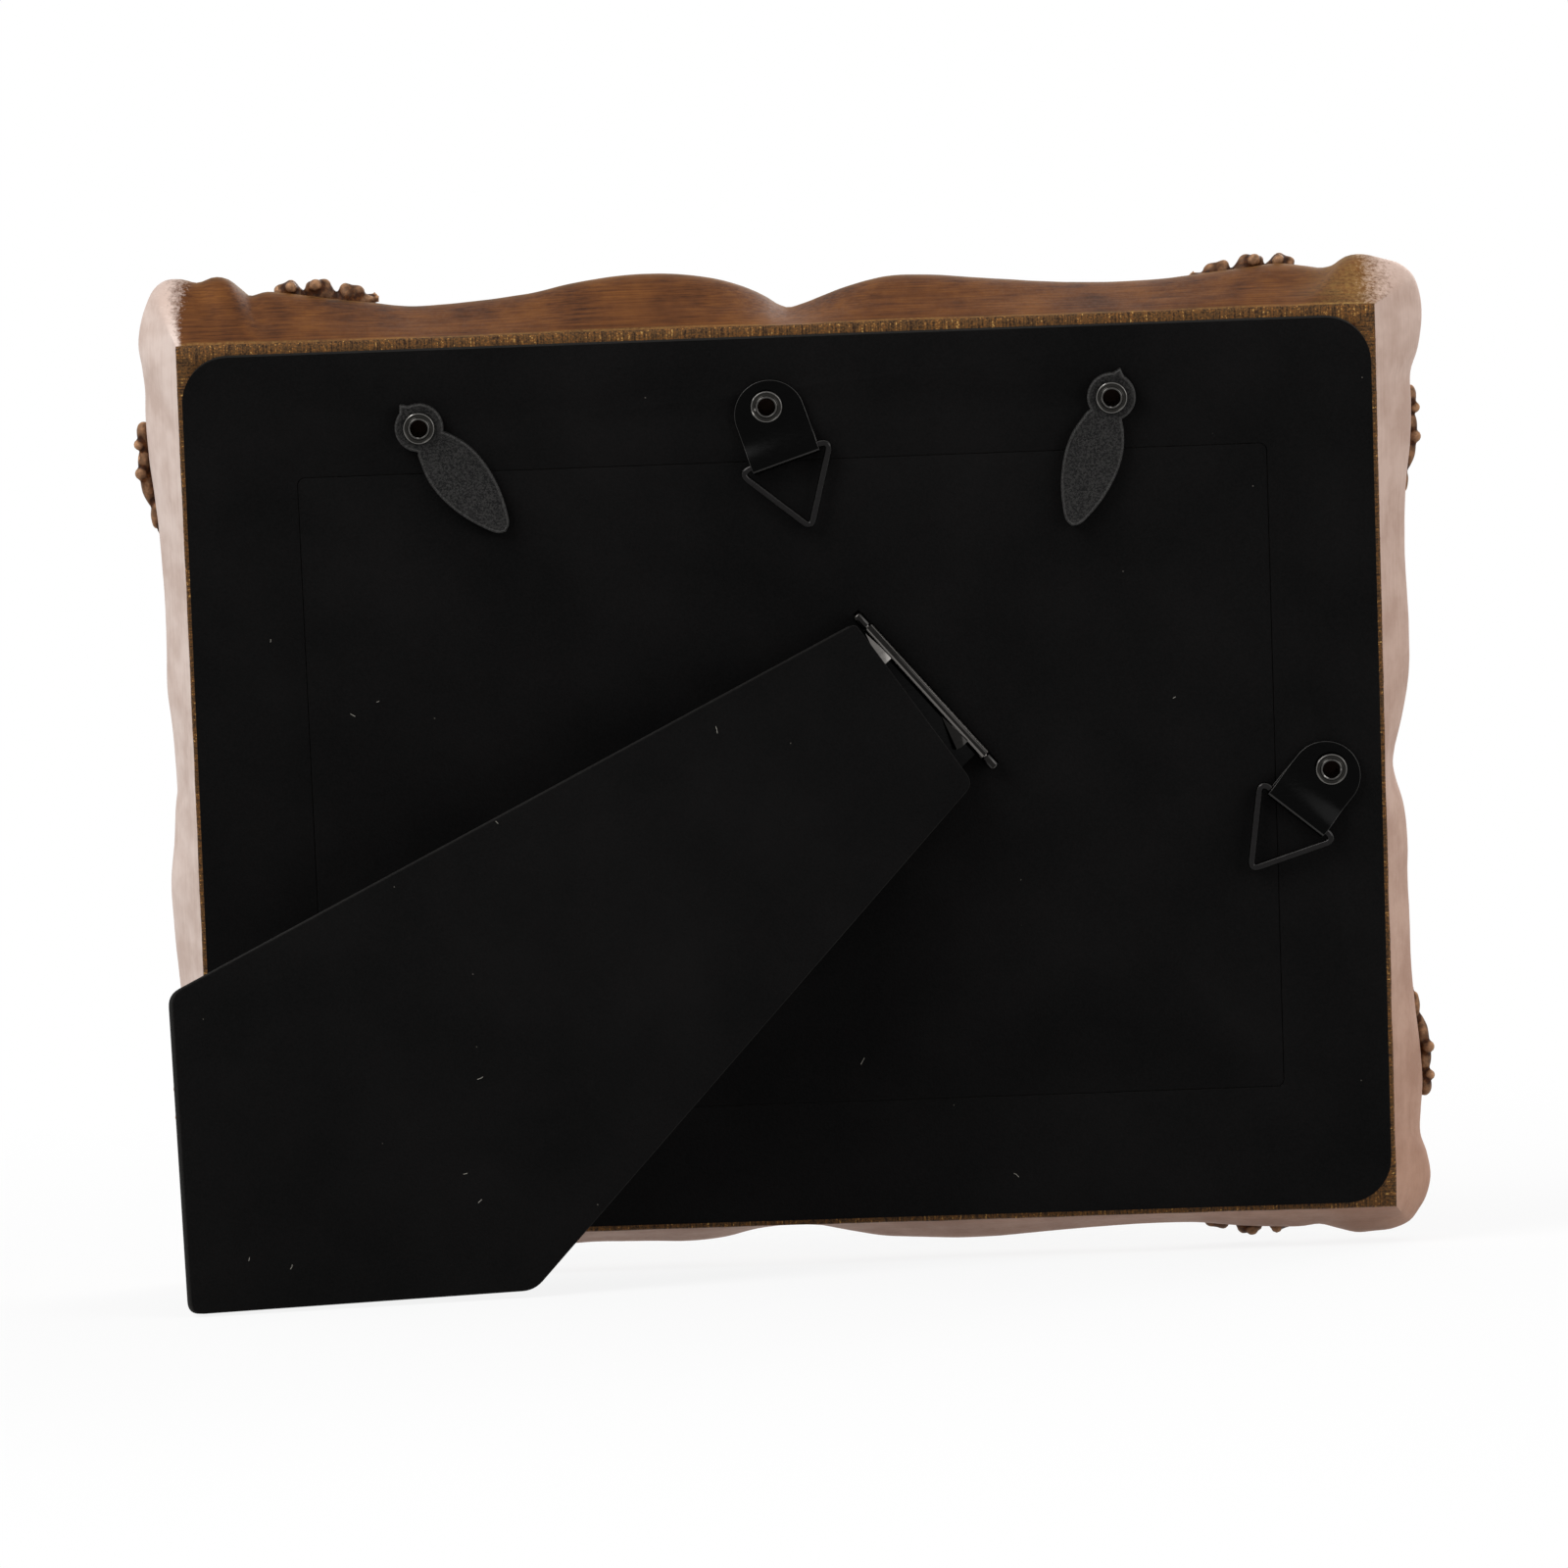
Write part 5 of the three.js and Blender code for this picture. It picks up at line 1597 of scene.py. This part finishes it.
class PHOTOFRAME_OT_hinge(Operator):
    """Adds the leg's hinge: two leaves of black sheet steel and the wire pin"""
    bl_idname = "photo_frame.add_hinge"
    bl_label = "Hinge"

    def execute(self, context):
        half_knuckle = HALF_PIN - EAR_LENGTH - SEAT_GAP
        half_leaf = half_knuckle - LEAF_SHOULDER
        low, _ = extent("hinge_leaf_leg", HINGE_ON_LEG)
        # The leaf is darker than the rest of the plating: a painted shade
        leaf_strip = block((-half_leaf, low.y, -HALF_SHEET), (half_leaf, -KNUCKLE_RADIUS, HALF_SHEET))
        soften(leaf_strip, SHEET_EDGE, 2, 50)
        settle(
            leaf_strip, "hinge_leaf_moving", HINGE_ON_LEG, "leg", finish("dull_plating"),
            ["hinge_leaf_leg"],
        )
        # The knuckle is plated lighter than its leaf: a painted highlight
        rolled = knuckle(-half_knuckle, half_knuckle, KNUCKLE_RADIUS)
        for place in DART_PLACES:
            carve(rolled, dart(place), "UNION")
        soften(rolled, SHEET_EDGE, 2, 50)
        # Painted highlights: lines along the knuckle, its ends and the upper dart
        paint_highlights_on(rolled, knuckle_highlights)
        settle(
            rolled, "hinge_knuckle", HINGE_ON_LEG, "leg", finish("rubbed_plating"),
            edges=finish("bared_steel"),
        )

        low, high = extent("hinge_leaf_door", HINGE)
        flap_top = -on_board(HINGE.translation).z
        stem_top = -KNUCKLE_RADIUS - SEAT_GAP
        fixed = block((-HALF_PIN, -HALF_SHEET, low.z), (HALF_PIN, high.y, flap_top))
        stem = block((-HALF_PIN, -HALF_SHEET, flap_top - SHEET_EDGE), (HALF_PIN, HALF_SHEET, stem_top))
        carve(fixed, stem, "UNION")
        ears = []
        for start, end in ((-HALF_PIN, EAR_LENGTH - HALF_PIN), (HALF_PIN - EAR_LENGTH, HALF_PIN)):
            post = block((start, -HALF_SHEET, stem_top - SEAT_GAP), (end, HALF_SHEET, -EAR_RADIUS))
            carve(fixed, post, "UNION")
            ears.append(knuckle(start, end, EAR_RADIUS))
        soften(fixed, SHEET_EDGE, 2, 50)
        settle(
            fixed, "hinge_leaf_fixed", HINGE, "frame", finish("black_plating"),
            ["hinge_leaf_door"],
        )
        rolls = join(ears)
        soften(rolls, SHEET_EDGE, 2, 50)
        # Painted highlights on the ears
        paint_highlights_on(rolls, knuckle_highlights)
        settle(
            rolls, "hinge_ears", HINGE, "frame", finish("rubbed_plating"),
            edges=finish("worn_plating"),
        )

        pin = rod(PIN_RADIUS, (-HALF_PIN, 0, 0), (HALF_PIN, 0, 0), 24)
        for side in (-1, 1):
            head = add(bpy.ops.mesh.primitive_uv_sphere_add, segments=24, ring_count=12, radius=PIN_HEAD)
            placing = Matrix.Translation((side * HALF_PIN, 0, 0))
            head.data.transform(placing @ Matrix.Diagonal((HEAD_FLATNESS, 1, 1, 1)))
            carve(pin, head, "UNION")
        settle(pin, "hinge_wire", HINGE, "frame", finish("bared_steel"), ["hinge_pin"])
        return {"FINISHED"}


# Turn button: the disc on its eyelet, the blade's shape in shares of its reach and half width, the nub
# on its disc, and how rounded its edges are
BUTTON_DISC = 3.9
BUTTON_BLADE_WIDTH = 9
BLADE_SHAPE = [(0.155, 0.67), (0.335, 0.955), (0.505, 1), (0.715, 0.82), (0.885, 0.5), (0.972, 0.25), (1, 0)]
NUB_HALF = 0.9
NUB_LENGTH = 0.95
BUTTON_EDGE = 0.09

# The raised line along the button's edge, from the edge inwards: width and rise of each step
BORDER_STEPS = [(0.12, 0), (0.07, 0.14), (0.1, 0), (0.07, -0.14)]


def button_outline(reach):
    """The button's outline: the disc's arc with its nub, then the blade's two edges to the tip."""
    edge = [Vector((out * BUTTON_BLADE_WIDTH / 2, -down * reach)) for down, out in BLADE_SHAPE]
    edge = [point for point in smooth(edge, 4) if point.length > BUTTON_DISC * 1.03]
    start = math.atan2(edge[0].y, edge[0].x)
    nub = math.asin(NUB_HALF / BUTTON_DISC)
    turn = math.pi / 2 - nub - start
    right, left = (arc((0, 0), BUTTON_DISC, begin, turn, 16) for begin in (start, math.pi / 2 + nub))
    mirrored = [Vector((-point.x, point.y)) for point in edge[:-1]]
    return [*right, Vector((0, BUTTON_DISC + NUB_LENGTH)), *left, *mirrored, *edge[:0:-1]]


class PHOTOFRAME_OT_buttons(Operator):
    """Adds the two leaf-shaped turn buttons, each with a raised border round a sunk field"""
    bl_idname = "photo_frame.add_buttons"
    bl_label = "Turn buttons"

    def execute(self, context):
        for side, space in BUTTONS.items():
            low, high = extent(f"turn_button_{side}", space)
            piece = plate(button_outline(-low.y), low.z, high.z)
            with editing(piece):
                pick_faces(piece, lambda face: face.normal.z > 0.9)
                for thickness, depth in BORDER_STEPS:
                    bpy.ops.mesh.inset(thickness=thickness, depth=depth)
            drill(piece, low.z, high.z)
            # The rounded edges take a lighter plastic: abrasion and a painted highlight
            soften(piece, BUTTON_EDGE, 2, 30, worn=True)
            settle(
                piece, f"button_{side}", space, f"{side}_button", finish("moulded_plastic"),
                [f"turn_button_{side}"], angle=25, edges=finish("scuffed_plastic"),
            )
        return {"FINISHED"}


# Radii of an eyelet's bore, tube and flange, and of the flange's face, where it starts to round over
EYELET_BORE = 1.35
EYELET_TUBE = 1.65
EYELET_FLANGE = 2.6
EYELET_LIP = 2.5

# The flange's section from its outer edge to the bore, as radius and share of its height: a rolled
# edge, a shallow dish and a rolled mouth
FLANGE_HEIGHT = 0.7
FLANGE_ROLL = [
    (2.6, 0.1), (2.58, 0.5), (2.4, 0.78), (2.2, 0.62), (1.9, 0.6), (1.68, 0.95), (1.5, 1), (1.38, 0.8),
    (1.35, 0.3),
]


class PHOTOFRAME_OT_eyelets(Operator):
    """Adds the four hollow rivets, each with a rolled flange outside and a clinch inside"""
    bl_idname = "photo_frame.add_eyelets"
    bl_label = "Eyelets"

    def execute(self, context):
        places = {f"turn_button_eyelet_{side}": space for side, space in BUTTONS.items()}
        places.update({f"hanger_eyelet_{side}": space for side, space in HANGERS.items()})
        for node, space in places.items():
            low, high = extent(node, space)
            seat = high.z - FLANGE_HEIGHT
            roll = [Vector((radius, seat + share * FLANGE_HEIGHT)) for radius, share in FLANGE_ROLL]
            profile = [
                (EYELET_BORE, low.z), (EYELET_LIP, low.z), (EYELET_FLANGE, low.z / 2), (EYELET_LIP, 0),
                (EYELET_TUBE, 0), (EYELET_TUBE, seat), (EYELET_LIP, seat), *smooth(roll, 3),
            ]
            settle(
                turned(profile, 64), node.replace("eyelet", "rivet"), space, "frame",
                finish("gunmetal"), [node], angle=50,
            )
        return {"FINISHED"}


# The hangers: the strap's sheet, the radii of its fold's bore and of the ring's wire, where the strap
# starts to rise, how far the ring stands out beside it, how its corners and tip are eased, half the split
# between the wire's ends, and the gap in the folded sheet
STRAP_SHEET = 0.45
LOOP_BORE = 0.825
RING_WIRE = 0.575
STRAP_RAMP_START = -3.4
RING_BESIDE_STRAP = 2.2
RING_CORNER = 2.2
RING_TIP = 1.5
RING_SPLIT = 0.3
FOLD_GAP = 0.01

# Where highlights are painted on the wire and a reflection on the fold: how far their faces lean out of the
# board, or down it
RING_HIGHLIGHT = (0.6, 0.88)
FOLD_REFLECTION = (0.45, 0.7)


def strap_outline(low, high):
    """The strap's outline: square below its fold, a half circle round the eyelet's end."""
    radius, foot = high.x, low.y - CUT_PAST
    return [(-radius, foot), (radius, foot), *arc((0, high.y - radius), radius, 0, math.pi, 28)]


def strap_profile(fold, top, bottom):
    """The folded sheet seen from its side: flat on itself at the eyelet, then up and round the wire."""
    radius = LOOP_BORE + STRAP_SHEET / 2
    upper = bottom + STRAP_SHEET * 1.5
    lower = bottom + STRAP_SHEET / 2
    course = [Vector((top, upper))]
    steps = 12
    for i in range(steps + 1):
        t = i / steps
        rise = (fold.z + radius - upper) * t * t * (3 - 2 * t)
        course.append(Vector((STRAP_RAMP_START + (fold.y - STRAP_RAMP_START) * t, upper + rise)))
    course += arc((fold.y, fold.z), radius, math.pi / 2, math.pi, 20)[1:-1]
    course += [Vector((fold.y, lower)), Vector((top, lower))]
    outer, inner = [], []
    half = STRAP_SHEET / 2 - FOLD_GAP
    for before, point, after in zip([course[0], *course], course, [*course[1:], course[-1]]):
        run = (after - before).normalized()
        aside = Vector((-run.y, run.x)) * half
        outer.append(point - aside)
        inner.append(point + aside)
    return outer + inner[::-1]


def ring_course(half_width, height):
    """The ring's wire from its split round the triangle and back, its corners eased."""
    along = (RING_SPLIT, half_width, 0, -half_width, -RING_SPLIT)
    places = [Vector((x, 0 if x else -height)) for x in along]
    course = [places[0]]
    for before, corner, after in zip(places, places[1:], places[2:]):
        course += bend(before, corner, after, RING_CORNER if corner.y == 0 else RING_TIP, 8)
    return [*course, places[-1]]


class PHOTOFRAME_OT_hangers(Operator):
    """Adds the two hangers: a strap folded from sheet steel, and the triangular wire ring in its fold"""
    bl_idname = "photo_frame.add_hangers"
    bl_label = "Hangers"

    def execute(self, context):
        for side, space in HANGERS.items():
            low, high = extent(f"hanger_strap_{side}", space)
            fold = Vector((0, low.y + LOOP_BORE + STRAP_SHEET, low.z + LOOP_BORE + STRAP_SHEET))
            half = high.x + CUT_PAST
            strap = across(strap_profile(fold, high.y + CUT_PAST, low.z), -half, half)
            blank = plate(strap_outline(low, high), low.z - CUT_PAST, fold.z * 2 + CUT_PAST)
            carve(strap, blank, "INTERSECT")
            drill(strap, low.z, fold.z)
            # The strap's rounded edges take a lighter plating: abrasion and a painted highlight outline
            soften(strap, SHEET_EDGE, 3, 40, worn=True)
            # Painted reflection: a lighter band along the fold's lower side
            paint_highlights_on(strap, lambda face: FOLD_REFLECTION[0] < -face.normal.y < FOLD_REFLECTION[1] and face.normal.z > 0.3)
            settle(
                strap, f"strap_{side}", space, f"{side}_strap", finish("black_plating"),
                [f"hanger_strap_{side}"], edges=finish("worn_plating"),
            )
            height = fold.y - extent(f"hanger_ring_{side}", space)[0].y - RING_WIRE
            course = ring_course(high.x + RING_BESIDE_STRAP, height)
            ring = tube([(p.x, p.y + fold.y, fold.z) for p in course], [RING_WIRE] * len(course), 24)
            # Painted highlights: two light lines along the wire
            paint_highlights_on(ring, lambda face: RING_HIGHLIGHT[0] < face.normal.z < RING_HIGHLIGHT[1])
            settle(
                ring, f"ring_{side}", space, f"{side}_ring", finish("black_wire"),
                [f"hanger_ring_{side}"], angle=50, edges=finish("worn_plating"),
            )
        return {"FINISHED"}


class PHOTOFRAME_OT_finishes(Operator):
    """Gives the packed pieces that stay as they are their finishes: glass, insert, card, panel and lining"""
    bl_idname = "photo_frame.add_finishes"
    bl_label = "Glass, papers and boards"

    def execute(self, context):
        finishes = {
            "glass_pane": "float_glass",
            "print_insert": "insert_paper",
            "backing_card": "grey_board",
            "door_panel": "dark_hardboard",
            "leg_lining": "lining_paper",
        }
        for node, name in finishes.items():
            materials = frame["nodes"][node].data.materials
            materials.clear()
            materials.append(finish(name))
        return {"FINISHED"}


# Stray fibres seen on the velvet: place, length and lie, on the leg and on the board. Each is a thin bar
# along a few points, bowed by some share of its length.
LEG_LINT = [
    (-13.8, 10.4, 1.1, 100), (-56.2, -42.8, 1.0, 20), (-57.5, -62.3, 0.8, 40), (-88.6, -70.6, 0.8, 60),
    (-59.6, -57.8, 0.7, 10), (-50.8, -2.4, 0.6, 130), (-95.3, -68.9, 0.6, 75),
]
BOARD_LINT = [
    (9.5, -46.3, 1.2, 60), (33.9, -66.3, 1.0, 140), (-70.9, 14.0, 0.9, 150), (-66.7, 16.1, 0.5, 20),
    (-83.6, 26.7, 0.5, 80), (62.0, 12.0, 0.5, 30),
]
LINT_RADIUS = 0.055
LINT_POINTS = 7
LINT_BOW = 0.4


class PHOTOFRAME_OT_lint(Operator):
    """Adds the few stray fibres that lie on the velvet"""
    bl_idname = "photo_frame.add_lint"
    bl_label = "Lint"

    def execute(self, context):
        dice = random.Random(7)
        covers = (("leg", LEG, "leg_velvet", LEG_LINT), ("frame", BOARD, "door_velvet", BOARD_LINT))
        for body, space, node, places in covers:
            level = extent(node, space)[1].z + LINT_RADIUS * 0.6
            strands = []
            for x, y, long, lie in places:
                turn = math.radians(lie)
                bow = dice.uniform(-LINT_BOW, LINT_BOW)
                points = []
                for i in range(LINT_POINTS):
                    t = i / (LINT_POINTS - 1) - 0.5
                    along, aside = t * long, bow * long * (0.25 - t * t)
                    points.append((
                        x + along * math.cos(turn) - aside * math.sin(turn),
                        y + along * math.sin(turn) + aside * math.cos(turn),
                        level,
                    ))
                strands.append(tube(points, [LINT_RADIUS] * LINT_POINTS, 8))
            fibres = join(strands)
            settle(fibres, f"lint_on_{body}", space, body, finish("lint_fibre"), angle=60)
        return {"FINISHED"}


# The studio, in metres: the floor just under the frame, and how far from it a shadow is drawn
FLOOR_SIZE = 60
FLOOR_LEVEL = -0.0003
SHADOW_REACH = 0.5

# How far the camera stands aside from its view's axis, in millimetres
CAMERA_SHIFT = (-1.6, -0.5)
SENSOR_WIDTH = 36


def add_lamp(name, place, size, watts, aim):
    """A square soft lamp that faces a place."""
    lamp = add(bpy.ops.object.light_add, type="AREA", location=place)
    lamp.name = name
    lamp.data.size = size
    lamp.data.energy = watts
    lamp.rotation_euler = (Vector(place) - Vector(aim)).to_track_quat("Z", "Y").to_euler()


class PHOTOFRAME_OT_studio(Operator):
    """Adds the camera at the photograph's place, soft lamps, a white world and a pale floor"""
    bl_idname = "photo_frame.add_studio"
    bl_label = "Studio"

    def execute(self, context):
        scene = context.scene
        settings = scene.frame_studio
        scene.view_settings.view_transform = "Standard"

        # The view's axes are the board's, turned; the camera stands off them by the distance
        view = (
            Matrix.Rotation(settings.roll, 4, "Z") @ Matrix.Rotation(settings.turn, 4, "Y")
            @ Matrix.Rotation(settings.elevation, 4, "X")
        )
        stand = Matrix.Translation((*CAMERA_SHIFT, settings.distance / MM))
        placed = BOARD @ view.inverted() @ stand
        aim = placed.to_3x3().normalized().to_quaternion()
        camera = add(bpy.ops.object.camera_add)
        camera.name = "camera"
        camera.matrix_world = Matrix.LocRotScale(placed.translation, aim, None)
        camera.data.sensor_width = SENSOR_WIDTH
        camera.data.lens = settings.lens
        scene.camera = camera

        middle = (0, 0, 0.08)
        add_lamp("key_lamp", (0.95, 0.9, 1.15), 0.9, settings.key, middle)
        add_lamp("fill_lamp", (-1.3, 0.9, 0.45), 0.9, settings.fill, middle)
        add_lamp("front_lamp", (-0.7, -1.4, 0.9), 1.0, settings.front, middle)

        world = bpy.data.worlds.new("white_studio")
        world.use_nodes = True
        scene.world = world
        tree = world.node_tree
        tree.nodes.clear()
        seen = seen_plainly(tree)
        light = add_node(tree, "ShaderNodeBackground", {"Strength": settings.ambient, "Color": (1, 1, 1, 1)})
        white = add_node(tree, "ShaderNodeBackground", {"Strength": 1.0, "Color": (1, 1, 1, 1)})
        both = add_node(tree, "ShaderNodeMixShader", {
            0: seen, 1: light.outputs["Background"], 2: white.outputs["Background"],
        })
        add_node(tree, "ShaderNodeOutputWorld", {"Surface": both.outputs["Shader"]})

        floor = add(bpy.ops.mesh.primitive_plane_add, size=FLOOR_SIZE, location=(0, 0, FLOOR_LEVEL))
        floor.name = "floor"
        floor.data.materials.append(floor_paint())
        return {"FINISHED"}


def floor_paint():
    """A white sweep: plain matt white that lights the object, and white to the eye but for a soft shadow."""
    material = bpy.data.materials.new("white_sweep")
    material.use_nodes = True
    tree = material.node_tree
    tree.nodes.clear()
    seen = seen_plainly(tree)
    # The shadow is drawn near the frame only, so that the floor's far edge can't be told from the world
    shrunk = add_node(tree, "ShaderNodeMapping", {
        "Vector": add_node(tree, "ShaderNodeTexCoord").outputs["Object"], "Scale": [1 / SHADOW_REACH] * 3,
    }).outputs["Vector"]
    near = add_node(tree, "ShaderNodeTexGradient", {"Vector": shrunk}, gradient_type="SPHERICAL")
    share = reckon(tree, "MULTIPLY", seen, scaled(tree, near.outputs["Fac"], 0.0, 0.5, 1.0, 0.86))
    bounce = blend(tree, seen, linear("#b4b4b4"), linear("#f4f4f4"))
    matt = add_node(tree, "ShaderNodeBsdfDiffuse", {"Color": bounce})
    white = add_node(tree, "ShaderNodeEmission", {"Color": (1, 1, 1, 1), "Strength": 1.0})
    both = add_node(tree, "ShaderNodeMixShader", {
        0: share, 1: matt.outputs["BSDF"], 2: white.outputs["Emission"],
    })
    add_node(tree, "ShaderNodeOutputMaterial", {"Surface": both.outputs["Shader"]})
    return material


class PHOTOFRAME_PT_panel(Panel):
    """Lists the frame's pieces and settings"""
    bl_idname = "PHOTOFRAME_PT_panel"
    bl_label = "Photo frame"
    bl_space_type = "VIEW_3D"
    bl_region_type = "UI"
    bl_category = "Photo frame"

    def draw(self, context):
        for name, kind in GROUPS.items():
            box = self.layout.box()
            box.label(text=kind.__doc__)
            for setting in kind.__annotations__:
                box.prop(getattr(context.scene, name), setting)
        for operator in OPERATORS:
            self.layout.operator(operator.bl_idname)


GROUPS = {
    "frame_casting": CastingSettings,
    "frame_paint": PaintSettings,
    "frame_back": BackSettings,
    "frame_hardware": HardwareSettings,
    "frame_studio": StudioSettings,
}
OPERATORS = (
    PHOTOFRAME_OT_studio,
    PHOTOFRAME_OT_casting,
    PHOTOFRAME_OT_carving,
    PHOTOFRAME_OT_pearls,
    PHOTOFRAME_OT_back,
    PHOTOFRAME_OT_leg,
    PHOTOFRAME_OT_hinge,
    PHOTOFRAME_OT_buttons,
    PHOTOFRAME_OT_eyelets,
    PHOTOFRAME_OT_hangers,
    PHOTOFRAME_OT_finishes,
    PHOTOFRAME_OT_lint,
)


def register():
    """Registers the settings, operators and panel."""
    for name, kind in GROUPS.items():
        bpy.utils.register_class(kind)
        setattr(bpy.types.Scene, name, PointerProperty(type=kind))
    for kind in (*OPERATORS, PHOTOFRAME_PT_panel):
        bpy.utils.register_class(kind)


def unregister():
    """Takes back what register did."""
    for kind in (PHOTOFRAME_PT_panel, *reversed(OPERATORS)):
        bpy.utils.unregister_class(kind)
    for name, kind in reversed(GROUPS.items()):
        delattr(bpy.types.Scene, name)
        bpy.utils.unregister_class(kind)


def main():
    """Builds the whole frame."""
    register()
    for operator in OPERATORS:
        module, name = operator.bl_idname.split(".")
        getattr(getattr(bpy.ops, module), name)()


if __name__ == "__main__":
    main()
